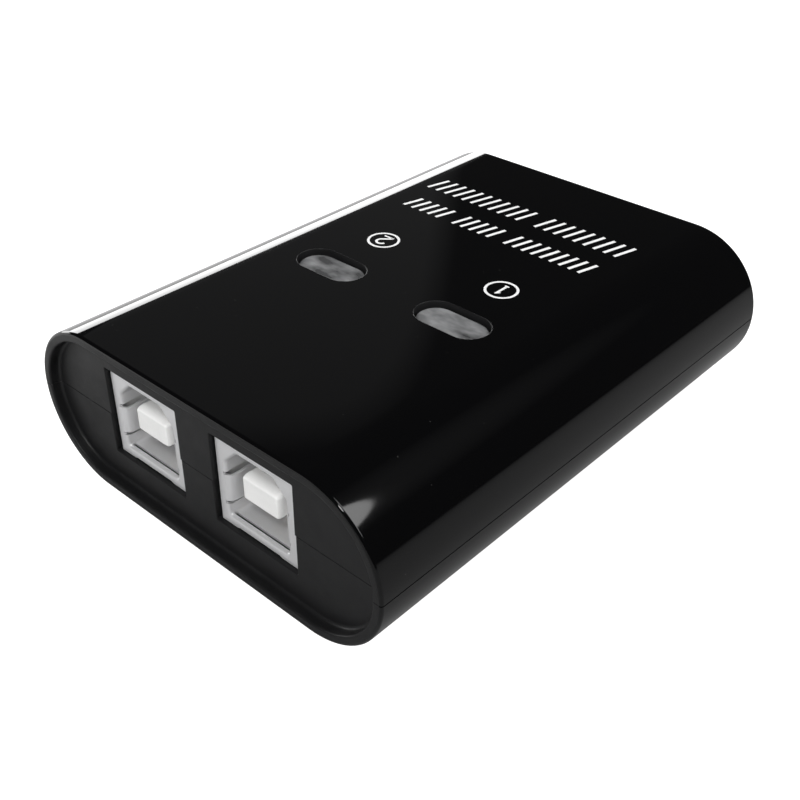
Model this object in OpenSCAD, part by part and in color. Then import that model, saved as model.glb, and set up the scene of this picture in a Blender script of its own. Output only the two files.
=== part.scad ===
// Two-way sharing switch in a flat, round-sided case: two B sockets at the front, one A socket
// and a latching push button at the rear, two indicator windows on top.
// +X is the width, +Y runs from the front sockets to the rear button, +Z is up.
// Modules work with Y measured from the front rim; from_front() moves them so that the origin
// is midway along the whole length, button included, on the surface that the feet stand on.

/* [Body] */
// Width of the case over its round sides
body_w = 55; // [52:0.5:60]
// Length of the case from rim to rim
body_l = 72; // [70:0.5:80]
// Height of the case without its feet
body_h = 20.6; // [20:0.1:22]
// Thickness of the case walls
wall_t = 1.8; // [1.5:0.1:2]
// Thickness of the rim that stands round each end panel
rim_t = 1.25; // [1:0.05:1.4]
// Depth of each end panel behind its rim
recess = 1.4; // [1:0.1:2]
// Height by which the rubber feet stand proud
foot_proud = 0.8; // [0.5:0.1:1.2]

/* [Sockets] */
// Distance between the centres of the two B sockets
socket_pitch = 18; // [17:0.5:19]
// Sideways shift of the B socket pair from the middle
socket_shift = -0.9; // [-1.5:0.1:0]
// Outer width of a B socket
b_w = 12; // [11.8:0.1:12.1]
// Outer height of a B socket above the board
b_h = 11.2; // [10.8:0.1:11.4]
// Depth of a B socket from its face
b_l = 16; // [15:0.5:18]
// Width of the mouth of a B socket
mouth_w = 9.2; // [8.8:0.1:9.4]
// Height of the mouth of a B socket
mouth_h = 9.1; // [8.6:0.1:9.2]
// Width of the A socket
a_w = 13.2; // [13:0.1:14]
// Height of the A socket
a_h = 6.2; // [6:0.1:6.4]
// Centre of the A socket across the case
a_x = 9.5; // [8:0.5:10]

/* [Button] */
// Centre of the push button across the case
button_x = -10; // [-10.5:0.5:-9.5]
// Diameter of the button cap
button_d = 7.6; // [7:0.1:8]
// Travel of the button
button_travel = 2.2; // [1.6:0.1:2.2]
// Height of the button beyond the rear rim
button_proud = 2.6; // [2.4:0.1:4]

/* [Windows] */
// Distance of the indicator windows from the front rim
lens_y = 30.8; // [28:0.1:34]
// Distance of each window from the middle of the case
lens_x = 9.65; // [9:0.05:10]
// Length of an indicator window across the case
lens_l = 9.9; // [9:0.1:10]
// Width of an indicator window
lens_w = 5.3; // [5:0.1:6]

/* [Hidden] */
$fn = 64;

// Clearance of a loose fit, and overshoot of a cut past a face
gap = 0.05;
cut = 1;
sheet_t = 0.3;              // metal of the sockets

// The section of the case is a rectangle between two round sides
side_r = body_h / 2;
side_x = body_w / 2 - side_r;
part_z = foot_proud + side_r;
top_z = foot_proud + body_h;
inner_r = side_r - wall_t;
ceiling_z = part_z + inner_r;
panel_y = recess + wall_t;  // inner face of the front panel
front_y = -(body_l + button_proud) / 2;
lip_h = 0.8;
lip_t = 0.8;
lip_gap = 0.15;

// Board
board_z = 4.4;
board_t = 1.6;
board_top = board_z + board_t;
board_w = 43.2;
board_gap = 0.4;            // between the board's ends and the panels
pin_z = 3.2;                // tips of the soldered pins
pin_hole_r = 0.5;

// Screws and feet
screw_x = 17.8;
screw_ys = [22.5, 50];
boss_r = 3;
boss_root = 1.4;            // depth of a boss in the wall it grows from
screw_r = 0.85;
screw_hole_r = 1.1;
head_r = 2;
head_h = 1.3;
head_z = 1.6;               // face of the screw head
pilot_top = 14;
foot_x = 13;
foot_ys = [9, 63];
foot_r = 3.5;
foot_sunk = 0.5;

// B sockets
b_xs = [socket_shift - socket_pitch / 2, socket_shift + socket_pitch / 2];
b_face = recess + 0.5;
b_top = board_top + b_h;
b_window = [b_w + 0.4, b_w + 0.7];      // widths in the upper and the lower case half
b_window_z = [board_top - 0.2, b_top + 0.25];
mouth_z = board_top + 1.1;
mouth_chamfer = 1.9;
mouth_l = 9;
tongue = [5.6, 3.2];
tongue_z = mouth_z + (mouth_h - tongue[1]) / 2 + 0.05;
tongue_back = 0.7;          // tongue tip behind the face
b_contact_x = 1.25;
b_contact = [0.7, 0.2, 0.5];            // width, thickness, depth of the soldered pin
b_pin_ys = [b_face + 11.9, b_face + 9.9];
leg_l = 2;
leg_gap = 0.15;             // room round a soldered leg in its slot
leg_y = b_face + 6;

// A socket
a_face = body_l - recess - 0.7;
a_l = 14.2;
a_z = board_top + 0.1;
a_tongue = [11.1, 1.84];
a_tongue_z = a_z + 3.5;
a_block_l = 4.5;
a_contact = [1, 0.25, 0.3];
a_contact_xs = [-3.5, -1, 1, 3.5];
a_pin_y = a_face - a_l + 1.3;
a_leg_y = a_face - 9;

// Push switch, along the button's axis at the parting height
switch_y = 43;              // back of the housing
switch_l = 12.5;
switch_w = 8.4;
switch_top = 14.2;
slider = [5, 4];            // section of the plunger
slider_gap = 0.1;
slider_back = switch_y + 1.4 + button_travel;
plate_y = 63.2;             // stop plate of the metal frame
plate_t = 0.5;
stem = 3;
stem_tip = 70.2;
cap_back = 67.2;
roof_l = 1.7;
pivot_y = switch_y + switch_l + 0.8;
latch_r = 0.25;
latch_arm = 3.7;
latch_z = switch_top + latch_r + gap;
track_deep = 0.8;
terminal_ys = [for (i = [0:5]) switch_y + 1.4 + 1.95 * i];
terminal = [0.3, 0.7];
clip = [0.3, 2.8, 1.6];     // thickness, length, height
clip_ys = [slider_back + 1.2, slider_back + 5.4];

// Return spring
spring_r = 2.6;
spring_wire = 0.17;
spring_turns = 4.5;

// Indicators
led_r = 1.5;
led_flange_r = 1.9;
led_z = 13;
led_lead_x = 1.27;
led_lead = 0.5;
lens_gap = 0.15;
lens_sunk = 0.65;
flange_t = 0.8;
flange_out = 1.1;

// Small parts
cap_xy = [0, 42];
cap_r = 2.5;
cap_h = 7;
cap_lead_x = 1;
chip = [2, 1.25, 0.5];
chip_ys = [24, 27, 30, 33];

case_black = [0.03, 0.03, 0.035];
steel = [0.8, 0.8, 0.82];
gold = [0.85, 0.68, 0.3];
board_green = [0.05, 0.3, 0.14];
pale_plastic = [0.86, 0.86, 0.84];

// ---------------------------------------------------------------- shared shapes

module from_front() translate([0, front_y, 0]) children();

// A section drawn as (x, z) carried along Y
module along_y(y0, y1)
    translate([0, y1, 0]) rotate([90, 0, 0]) linear_extrude(y1 - y0) children();

module block(x0, x1, y0, y1, z0, z1)
    translate([x0, y0, z0]) cube([x1 - x0, y1 - y0, z1 - z0]);

// The case section with its round sides brought in to radius r
module section(r) {
    for (s = [-1, 1]) translate([s * side_x, part_z]) circle(r);
    translate([-side_x, part_z - r]) square([2 * side_x, 2 * r]);
}

module half_section(r, up) intersection() {
    section(r);
    translate([-body_w, up ? part_z : part_z - body_h]) square([2 * body_w, body_h]);
}

// A slot outline with round ends, long side across the case
module slot(l, w) {
    for (s = [-1, 1]) translate([s * (l - w) / 2, 0]) circle(w / 2);
    square([l - w, w], center = true);
}

module at_screws() for (s = [-1, 1], y = screw_ys) translate([s * screw_x, y, 0]) children();

module at_feet() for (s = [-1, 1], y = foot_ys) translate([s * foot_x, y, 0]) children();

// Both end recesses and the space inside the case
module case_hollow() {
    along_y(-cut, recess) section(side_r - rim_t);
    along_y(body_l - recess, body_l + cut) section(side_r - rim_t);
    along_y(panel_y, body_l - panel_y) section(inner_r);
}

// Windows in the end panels; w is the width of the B socket windows
module end_windows(w) {
    for (x = b_xs) block(x - w / 2, x + w / 2, recess - cut, panel_y + cut, b_window_z[0], b_window_z[1]);
    block(a_x - a_w / 2 - 0.2, a_x + a_w / 2 + 0.2, body_l - panel_y - cut, body_l,
        a_z - 0.2, a_z + a_h + 0.2);
    translate([button_x, body_l - panel_y - cut, part_z]) rotate([-90, 0, 0])
        cylinder(r = button_d / 2 + 0.25, h = wall_t + 2 * cut);
}

// ---------------------------------------------------------------- case

module top_shell() color(case_black) from_front() difference() {
    union() {
        difference() {
            along_y(0, body_l) half_section(side_r, true);
            case_hollow();
            // rebate that takes the lower half's lip
            along_y(panel_y, body_l - panel_y) intersection() {
                section(inner_r + lip_t + lip_gap);
                translate([-body_w, part_z - cut]) square([2 * body_w, cut + lip_h + lip_gap]);
            }
        }
        at_screws() translate([0, 0, board_top]) cylinder(r = boss_r, h = top_z - boss_root - board_top);
    }
    end_windows(b_window[0]);
    at_screws() translate([0, 0, board_top - cut])
        cylinder(r = screw_r + gap, h = pilot_top - board_top + cut);
    for (s = [-1, 1]) translate([s * lens_x, lens_y, ceiling_z - cut])
        linear_extrude(wall_t + 2 * cut) slot(lens_l, lens_w);
}

module bottom_shell() color(case_black) from_front() difference() {
    union() {
        difference() {
            along_y(0, body_l) half_section(side_r, false);
            case_hollow();
        }
        // lip that keys into the upper half
        along_y(panel_y + lip_gap, body_l - panel_y - lip_gap) difference() {
            intersection() {
                section(inner_r + lip_t);
                translate([-body_w, part_z - cut]) square([2 * body_w, cut + lip_h]);
            }
            section(inner_r);
        }
        at_screws() translate([0, 0, foot_proud + boss_root])
            cylinder(r = boss_r, h = board_z - foot_proud - boss_root);
    }
    end_windows(b_window[1]);
    at_screws() {
        cylinder(r = head_r + 0.2, h = head_z + head_h);
        cylinder(r = screw_hole_r, h = board_z + cut);
    }
    at_feet() cylinder(r = foot_r + 0.1, h = foot_proud + foot_sunk);
}

// Pan-head screws with a cross recess
module case_screws() color(steel) from_front() at_screws() difference() {
    union() {
        translate([0, 0, head_z]) cylinder(r = head_r, h = head_h);
        translate([0, 0, head_z + head_h]) cylinder(r = screw_r, h = 9.5);
    }
    for (a = [0, 90]) rotate([0, 0, a]) translate([-1.2, -0.25, 0]) cube([2.4, 0.5, head_z + 0.8]);
}

module rubber_feet() color([0.08, 0.08, 0.08]) from_front() at_feet()
    cylinder(r = foot_r, h = foot_proud + foot_sunk);

// ---------------------------------------------------------------- board

module pin_hole(r = pin_hole_r) translate([0, 0, board_z - cut]) cylinder(r = r, h = board_t + 2 * cut);

module circuit_board() color(board_green) from_front() difference() {
    block(-board_w / 2, board_w / 2, panel_y + board_gap, body_l - panel_y - board_gap, board_z, board_top);
    at_screws() pin_hole(screw_hole_r);
    for (x = b_xs) {
        for (s = [-1, 1], y = b_pin_ys)
            translate([x + s * b_contact_x, y + b_contact[2] / 2, 0]) pin_hole();
        for (s = [-1, 1]) leg_slot(x + s * (b_w - sheet_t) / 2, leg_y);
    }
    for (x = a_contact_xs) translate([a_x + x, a_pin_y + a_contact[2] / 2, 0]) pin_hole(0.6);
    for (s = [-1, 1]) leg_slot(a_x + s * (a_w - sheet_t) / 2, a_leg_y);
    for (s = [-1, 1], y = terminal_ys)
        translate([button_x + s * (slider[0] / 2 + slider_gap + terminal[0] / 2), y, 0]) pin_hole();
    for (s = [-1, 1], t = [-1, 1]) translate([s * lens_x + t * led_lead_x, lens_y, 0]) pin_hole();
    for (s = [-1, 1]) translate([cap_xy[0] + s * cap_lead_x, cap_xy[1], 0]) pin_hole();
}

// Slot for a soldered leg of a socket
module leg_slot(x, y) {
    w = sheet_t / 2 + leg_gap;
    block(x - w, x + w, y - leg_gap, y + leg_l + leg_gap, board_z - cut, board_top + cut);
}

// ---------------------------------------------------------------- B sockets

// Mouth of a B socket grown outwards by t: a square with its two top corners cut off
module mouth(t) {
    w = mouth_w / 2 + t;
    c = mouth_chamfer + t * (2 - sqrt(2));
    z0 = mouth_z - t;
    z1 = mouth_z + mouth_h + t;
    polygon([[-w, z0], [w, z0], [w, z1 - c], [w - c, z1], [c - w, z1], [-w, z1 - c]]);
}

// Front plate of a B socket, half as wide as w; its two lower corners reach below the board's top
module face_plate(w) {
    foot_z = board_top - 0.15;
    x = 3.5;
    polygon([[-w, b_top], [-w, foot_z], [-x, foot_z], [0.2 - x, board_top],
        [x - 0.2, board_top], [x, foot_z], [w, foot_z], [w, b_top]]);
}

// Sheet-metal shield: skin, front plate, folded-in throat with a leaf cut free in each side, two legs
module b_socket_shell(x) color(steel) from_front() translate([x, 0, 0]) {
    w = b_w / 2;
    difference() {
        union() {
            difference() {
                block(-w, w, b_face, b_face + b_l, board_top, b_top);
                block(sheet_t - w, w - sheet_t, b_face + sheet_t, b_face + b_l - sheet_t,
                    board_top - cut, b_top - sheet_t);
            }
            along_y(b_face, b_face + sheet_t) face_plate(w);
            along_y(b_face, b_face + mouth_l) mouth(sheet_t);
        }
        along_y(b_face - cut, b_face + mouth_l + cut) mouth(0);
        for (z = [tongue_z - 1.7, tongue_z + 2.3])
            block(-w + sheet_t + gap, w - sheet_t - gap, b_face + 0.8, b_face + 6.5, z, z + 0.5);
    }
    for (s = [-1, 1]) translate([s * (w - sheet_t / 2), 0, 0])
        block(-sheet_t / 2, sheet_t / 2, leg_y, leg_y + leg_l, pin_z, board_top + gap);
}

// The path of the four contact strips, each along the tongue and down through the board
module b_contact_path() {
    wx = b_contact[0] / 2;
    zs = [tongue_z + tongue[1] - b_contact[1], tongue_z];
    for (s = [-1, 1], i = [0, 1]) translate([s * b_contact_x, 0, 0]) {
        block(-wx, wx, b_face + tongue_back + 0.8, b_pin_ys[i] + b_contact[2], zs[i], zs[i] + b_contact[1]);
        block(-wx, wx, b_pin_ys[i], b_pin_ys[i] + b_contact[2], pin_z, zs[i] + b_contact[1]);
    }
}

module b_socket_insulator(x) color(pale_plastic) from_front() translate([x, 0, 0]) difference() {
    inset = sheet_t + gap;
    w = b_w / 2 - inset;
    union() {
        difference() {
            block(-w, w, b_face + inset, b_face + b_l - inset, board_top, b_top - inset);
            along_y(b_face - cut, b_face + mouth_l + gap) mouth(inset);
        }
        block(-tongue[0] / 2, tongue[0] / 2, b_face + tongue_back, b_face + mouth_l + cut,
            tongue_z, tongue_z + tongue[1]);
    }
    b_contact_path();
}

module b_socket_contacts(x) color(gold) from_front() translate([x, 0, 0]) b_contact_path();

module b_socket_shell_1() b_socket_shell(b_xs[1]);
module b_socket_shell_2() b_socket_shell(b_xs[0]);
module b_socket_insulator_1() b_socket_insulator(b_xs[1]);
module b_socket_insulator_2() b_socket_insulator(b_xs[0]);
module b_socket_contacts_1() b_socket_contacts(b_xs[1]);
module b_socket_contacts_2() b_socket_contacts(b_xs[0]);

// ---------------------------------------------------------------- A socket

module a_socket_shell() color(steel) from_front() translate([a_x, 0, 0]) {
    w = a_w / 2;
    back = a_face - a_l;
    difference() {
        block(-w, w, back, a_face, a_z, a_z + a_h);
        block(sheet_t - w, w - sheet_t, back + sheet_t, a_face + cut, a_z + sheet_t, a_z + a_h - sheet_t);
        // opening under the block for the soldered pins
        block(-4.5, 4.5, back + 0.8, back + 2.2, a_z - cut, a_z + sheet_t + gap);
    }
    for (s = [-1, 1]) translate([s * (w - sheet_t / 2), 0, 0])
        block(-sheet_t / 2, sheet_t / 2, a_leg_y, a_leg_y + leg_l, pin_z, a_z + gap);
}

module a_contact_path() for (x = a_contact_xs) translate([x, 0, 0]) {
    wx = a_contact[0] / 2;
    block(-wx, wx, a_pin_y, a_face - 2.2, a_tongue_z - a_contact[1] / 2, a_tongue_z + a_contact[1] / 2);
    block(-wx, wx, a_pin_y, a_pin_y + a_contact[2], pin_z, a_tongue_z + a_contact[1] / 2);
}

module a_socket_insulator() color(pale_plastic) from_front() translate([a_x, 0, 0]) difference() {
    w = a_w / 2 - sheet_t - gap;
    back = a_face - a_l + sheet_t + gap;
    union() {
        block(-w, w, back, back + a_block_l, a_z + sheet_t + gap, a_z + a_h - sheet_t - gap);
        block(-a_tongue[0] / 2, a_tongue[0] / 2, back + a_block_l - cut, a_face - 1,
            a_tongue_z, a_tongue_z + a_tongue[1]);
    }
    a_contact_path();
}

module a_socket_contacts() color(gold) from_front() translate([a_x, 0, 0]) a_contact_path();

// ---------------------------------------------------------------- push switch

module at_button() from_front() translate([button_x, 0, 0]) children();

// Fixed contact strips, flush with the sides of the slider's channel
module terminal_strips() for (s = [-1, 1], y = terminal_ys)
    translate([s * (slider[0] / 2 + slider_gap + terminal[0] / 2), y, 0])
        block(-terminal[0] / 2, terminal[0] / 2, -terminal[1] / 2, terminal[1] / 2, pin_z, part_z + 1);

module switch_housing() color([0.12, 0.12, 0.13]) at_button() difference() {
    w = slider[0] / 2 + slider_gap;
    h = slider[1] / 2 + slider_gap;
    front = switch_y + switch_l;
    union() {
        block(-switch_w / 2, switch_w / 2, switch_y, front, board_top, switch_top);
        // roof that carries the latch pin's pivot
        block(-2, 2, front - cut, front + roof_l, part_z + h, switch_top);
    }
    block(-w, w, switch_y + 1.2, front + cut, part_z - h, part_z + h);
    translate([0, pivot_y, part_z]) cylinder(r = latch_r + gap, h = switch_top);
    terminal_strips();
}

module switch_terminals() color(steel) at_button() terminal_strips();

// Bent metal frame: two arms along the housing, the stop plate and the tab over the latch pin
module switch_frame() color(steel) at_button() {
    w = switch_w / 2;
    tab_z = latch_z + latch_r + gap;
    difference() {
        union() {
            for (s = [-1, 1]) translate([s * (w + 0.2), 0, 0])
                block(-0.2, 0.2, switch_y + 5, plate_y + plate_t, board_top + 0.2, switch_top);
            block(-w - 0.4, w + 0.4, plate_y, plate_y + plate_t, board_top + 0.2, tab_z + 0.3);
            block(-0.8, 0.8, pivot_y - 0.6, plate_y + cut / 2, tab_z, tab_z + 0.3);
        }
        block(-stem / 2 - 0.15, stem / 2 + 0.15, plate_y - cut, plate_y + plate_t + cut,
            part_z - stem / 2 - 0.15, part_z + stem / 2 + 0.15);
    }
}

// Heart-shaped island that the latch pin's tip passes on its right
module heart() polygon([[-0.3, 0.45], [0.02, 1.65], [-0.28, 1.45], [-0.6, 1.75], [-0.75, 1.2]]);

// Slider with the latch track in its top, and the stem that carries the cap
module switch_plunger() color(pale_plastic) at_button() difference() {
    tip_y = pivot_y + latch_arm;
    union() {
        block(-slider[0] / 2, slider[0] / 2, slider_back, plate_y - 0.1,
            part_z - slider[1] / 2, part_z + slider[1] / 2);
        block(-stem / 2, stem / 2, plate_y - cut, stem_tip, part_z - stem / 2, part_z + stem / 2);
    }
    translate([0, tip_y, part_z + slider[1] / 2 - track_deep]) linear_extrude(track_deep + cut) difference() {
        translate([-1.25, -0.5]) square([2.5, 3.15]);
        heart();
    }
    for (s = [-1, 1], y = clip_ys) translate([s * slider[0] / 2, 0, 0])
        block(-clip[0], clip[0], y, y + clip[1], part_z - clip[2] / 2, part_z + clip[2] / 2);
}

// Sliding contacts in the plunger's sides
module contact_clips() color(gold) at_button() for (s = [-1, 1], y = clip_ys)
    translate([s * (slider[0] / 2 - clip[0] / 2 + gap), 0, 0])
        block(-clip[0] / 2, clip[0] / 2, y, y + clip[1], part_z - clip[2] / 2, part_z + clip[2] / 2);

// Wire staple: a pivot leg in the housing's roof, a bar, and the tip that rides in the track
module latch_pin() color(steel) at_button() {
    leg = switch_top - part_z - slider[1] / 2 - slider_gap;
    translate([0, pivot_y, switch_top - leg]) cylinder(r = latch_r, h = latch_z - switch_top + leg);
    translate([0, pivot_y, latch_z]) rotate([-90, 0, 0]) cylinder(r = latch_r, h = latch_arm);
    for (y = [pivot_y, pivot_y + latch_arm]) translate([0, y, latch_z]) sphere(r = latch_r);
    translate([0, pivot_y + latch_arm, part_z + slider[1] / 2 - track_deep + 0.15])
        cylinder(r = latch_r, h = latch_z - part_z - slider[1] / 2 + track_deep - 0.15);
}

// Helix of round wire between the stop plate and the cap, as one swept tube
function spring_ring(i, n, sides) =
    let (a = 360 * spring_turns * i / n,
         y0 = plate_y + plate_t + spring_wire + gap,
         y1 = cap_back - spring_wire - gap,
         y = y0 + (y1 - y0) * i / n)
    [for (k = [0:sides - 1]) let (b = 360 * k / sides, r = spring_r + spring_wire * cos(b))
        [r * cos(a), y + spring_wire * sin(b), part_z + r * sin(a)]];

module return_spring() color(steel) at_button() {
    sides = 8;
    n = 22 * spring_turns;
    rings = [for (i = [0:n]) each spring_ring(i, n, sides)];
    sides_faces = [for (i = [0:n - 1], k = [0:sides - 1])
        let (a = i * sides + k, b = i * sides + (k + 1) % sides) [a, b, b + sides, a + sides]];
    ends = [[for (k = [sides - 1:-1:0]) k], [for (k = [0:sides - 1]) n * sides + k]];
    polyhedron(points = rings, faces = concat(sides_faces, ends));
}

module button_cap() color([0.06, 0.06, 0.065]) at_button() difference() {
    tip = body_l + button_proud;
    round_r = 0.8;
    translate([0, cap_back, part_z]) rotate([-90, 0, 0]) rotate_extrude() {
        square([button_d / 2, tip - cap_back - round_r]);
        square([button_d / 2 - round_r, tip - cap_back]);
        translate([button_d / 2 - round_r, tip - cap_back - round_r]) intersection() {
            circle(round_r);
            square(round_r);
        }
    }
    block(-stem / 2, stem / 2, cap_back - cut, stem_tip, part_z - stem / 2, part_z + stem / 2);
}

// ---------------------------------------------------------------- indicators

module led(s) color([0.85, 0.85, 0.85, 0.8]) from_front() translate([s * lens_x, lens_y, led_z]) {
    cylinder(r = led_flange_r, h = 1);
    cylinder(r = led_r, h = 4);
    translate([0, 0, 4]) intersection() {
        sphere(led_r);
        cylinder(r = 2 * led_r, h = led_r);
    }
}

module led_leads(s) color(steel) from_front() for (t = [-1, 1])
    translate([s * lens_x + t * led_lead_x, lens_y, 0])
        block(-led_lead / 2, led_lead / 2, -led_lead / 2, led_lead / 2, pin_z, led_z);

module led_spacer(s) color(pale_plastic) from_front() translate([s * lens_x, lens_y, 0]) difference() {
    translate([0, 0, board_top]) cylinder(r = led_flange_r, h = led_z - board_top);
    for (t = [-1, 1]) translate([t * led_lead_x, 0, board_z]) cylinder(r = 0.4, h = led_z);
}

// Light pipe: a plug in the window, with a flange glued under the ceiling
module lens(s) color([0.8, 0.82, 0.84, 0.6]) from_front() translate([s * lens_x, lens_y, 0]) {
    translate([0, 0, ceiling_z - flange_t]) linear_extrude(flange_t)
        slot(lens_l + 2 * flange_out, lens_w + 2 * flange_out);
    translate([0, 0, ceiling_z - gap]) linear_extrude(wall_t - lens_sunk + gap)
        slot(lens_l - 2 * lens_gap, lens_w - 2 * lens_gap);
}

module led_1() led(1);
module led_2() led(-1);
module led_leads_1() led_leads(1);
module led_leads_2() led_leads(-1);
module led_spacer_1() led_spacer(1);
module led_spacer_2() led_spacer(-1);
module lens_1() lens(1);
module lens_2() lens(-1);

// ---------------------------------------------------------------- small parts on the board

module capacitor() color([0.1, 0.12, 0.3]) from_front() translate([cap_xy[0], cap_xy[1], 0]) {
    translate([0, 0, board_top]) cylinder(r = cap_r, h = cap_h);
    for (s = [-1, 1]) translate([s * cap_lead_x, 0, pin_z]) cylinder(r = 0.25, h = board_top - pin_z + gap);
}

module chip_resistors() color([0.15, 0.15, 0.16]) from_front() for (y = chip_ys, s = [-1, 1])
    translate([s * 2.2 - chip[0] / 2, y, board_top]) cube(chip);

// ---------------------------------------------------------------- nodes

top_shell();
bottom_shell();
circuit_board();
case_screws();
rubber_feet();
b_socket_shell_1();
b_socket_shell_2();
b_socket_insulator_1();
b_socket_insulator_2();
b_socket_contacts_1();
b_socket_contacts_2();
a_socket_shell();
a_socket_insulator();
a_socket_contacts();
switch_housing();
switch_frame();
switch_terminals();
switch_plunger();
contact_clips();
latch_pin();
return_spring();
button_cap();
led_1();
led_2();
led_leads_1();
led_leads_2();
led_spacer_1();
led_spacer_2();
lens_1();
lens_2();
capacitor();
chip_resistors();
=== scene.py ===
"""Finished look of a two-way sharing switch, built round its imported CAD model.

Every length is in metres in the row frame: +X across the case, +Y from the front sockets to the rear
button, +Z up from the surface that the feet stand on. An outline is a closed curve of points with their
outward normals; a loft is a stack of such curves joined by quads.
"""

import math

import bmesh
import bpy
import numpy as np
from mathutils import Euler, Matrix, Vector


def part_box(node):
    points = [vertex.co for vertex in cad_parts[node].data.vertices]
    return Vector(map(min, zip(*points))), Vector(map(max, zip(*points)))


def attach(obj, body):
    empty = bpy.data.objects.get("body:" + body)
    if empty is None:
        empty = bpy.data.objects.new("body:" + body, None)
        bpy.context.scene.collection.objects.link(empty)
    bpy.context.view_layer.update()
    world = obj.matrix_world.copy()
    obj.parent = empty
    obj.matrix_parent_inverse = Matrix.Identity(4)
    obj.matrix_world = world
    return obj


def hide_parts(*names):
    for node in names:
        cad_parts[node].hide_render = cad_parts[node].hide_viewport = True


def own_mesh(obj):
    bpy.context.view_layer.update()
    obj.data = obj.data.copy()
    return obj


bl_info = {
    "name": "Sharing switch",
    "version": (1, 0, 0),
    "blender": (4, 5, 0),
    "location": "3D View > Sidebar > Sharing Switch",
    "description": "Builds the case, sockets, button and windows of a small two-way sharing switch",
    "category": "Add Mesh",
}

MM = 0.001
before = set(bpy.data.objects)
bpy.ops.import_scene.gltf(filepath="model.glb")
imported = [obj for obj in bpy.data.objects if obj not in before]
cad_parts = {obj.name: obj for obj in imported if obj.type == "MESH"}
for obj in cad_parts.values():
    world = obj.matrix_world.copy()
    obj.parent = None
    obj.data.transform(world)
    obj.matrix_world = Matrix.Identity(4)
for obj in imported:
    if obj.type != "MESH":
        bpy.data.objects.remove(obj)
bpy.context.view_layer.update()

# Case, from the frame
CASE_LOW, CASE_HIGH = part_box("top_shell")
FRONT, REAR, TOP = CASE_LOW.y, CASE_HIGH.y, CASE_HIGH.z
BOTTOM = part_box("bottom_shell")[0].z
SIDE_R = (TOP - BOTTOM) / 2
SIDE_X = CASE_HIGH.x - SIDE_R
PARTING = BOTTOM + SIDE_R
BOARD_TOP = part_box("circuit_board")[1].z

# Sheet of the shields, and the sizes that the standard plugs fix: B tongue above the mouth's floor, its
# contact strips' distance from the middle and the depth of their pins; A contact places, A tongue's underside
SHEET = 0.3 * MM
B_TONGUE_W, B_TONGUE_LOW, B_TONGUE_HIGH = 5.6 * MM, 3 * MM, 6.2 * MM
B_STRIP_X = 1.25 * MM
B_PINS_Y = (12.15 * MM, 10.15 * MM)
A_STRIPS_X = (-3.5 * MM, -1 * MM, 1 * MM, 3.5 * MM)
A_TONGUE_Z = BOARD_TOP + 3.6 * MM

SCREW_HEAD_R = 2 * MM
FOOT_R = 3.5 * MM


# ---------------------------------------------------------------- settings

def length_property(name, description, default, low, high):
    """A length in the sidebar, given in millimetres."""
    return bpy.props.FloatProperty(
        name=name, description=description, default=default * MM, min=low * MM, max=high * MM,
        unit="LENGTH", precision=5)


def colour_property(name, description, default):
    """A colour in the sidebar."""
    return bpy.props.FloatVectorProperty(
        name=name, description=description, default=default, subtype="COLOR", size=3, min=0, max=1)


class CaseSettings(bpy.types.PropertyGroup):
    """Sizes and colours of the case halves."""

    rim: length_property("Rim thickness", "Thickness of the rim round each end panel", 1.25, 0.5, 2)
    recess: length_property("Panel recess", "Depth of each end panel behind its rim", 1.4, 0.5, 3)
    wall: length_property("Wall thickness", "Thickness of the walls and end panels", 1.8, 1, 3)
    edge: length_property("Edge radius", "Rounding where the rim meets the outside", 0.38, 0.05, 0.5)
    groove: length_property("Seam groove", "Chamfer of each half along the seam", 0.07, 0.02, 0.3)
    gloss: colour_property("Outside colour", "Colour of the polished outside", (0.0016, 0.0016, 0.0018))
    satin: colour_property(
        "Panel colour", "Colour of the grained rims and end panels", (0.0085, 0.0085, 0.009))


class SocketSettings(bpy.types.PropertyGroup):
    """Sizes and colours of the three sockets."""

    mouth_w: length_property("B mouth width", "Width of the mouth of a B socket", 9.2, 8.4, 9.6)
    mouth_h: length_property("B mouth height", "Height of the mouth of a B socket", 9.1, 8, 9.4)
    mouth_cut: length_property("B mouth corners", "Size of the two cut-off top corners", 1.9, 1.5, 2.5)
    throat: length_property("B throat depth", "Depth of the folded-in throat", 9, 6, 10)
    leaf_bow: length_property("Leaf bow", "How far the spring leaves bow into the throat", 0.5, 0, 1)
    metal: colour_property("Metal", "Colour of the plated sheet", (0.86, 0.86, 0.87))
    plastic: colour_property("Tongue plastic", "Colour of the moulded insulators", (0.82, 0.82, 0.81))


class ButtonSettings(bpy.types.PropertyGroup):
    """Sizes and colour of the push button."""

    dish: length_property("Dish depth", "Depth of the hollow in the button's face", 0.18, 0, 0.5)
    round: length_property("Edge radius", "Rounding of the button's edge", 0.75, 0.2, 0.8)
    colour: colour_property("Button colour", "Colour of the moulded cap", (0.014, 0.014, 0.015))


class PrintSettings(bpy.types.PropertyGroup):
    """Sizes and colour of the white print on the top."""

    ring_r: length_property("Ring radius", "Outer radius of the rings round the numbers", 2.12, 1, 3)
    line: length_property("Line width", "Width of the printed lines", 0.33, 0.2, 0.8)
    ring_y: length_property("Ring place", "Distance of the rings from the front rim", 40, 36, 46)
    slant: bpy.props.FloatProperty(
        name="Slant", description="Lean of the decorative strokes", subtype="ANGLE",
        default=math.radians(14), min=0, max=math.radians(30))
    ink: colour_property("Ink", "Colour of the print", (0.74, 0.74, 0.74))


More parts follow.
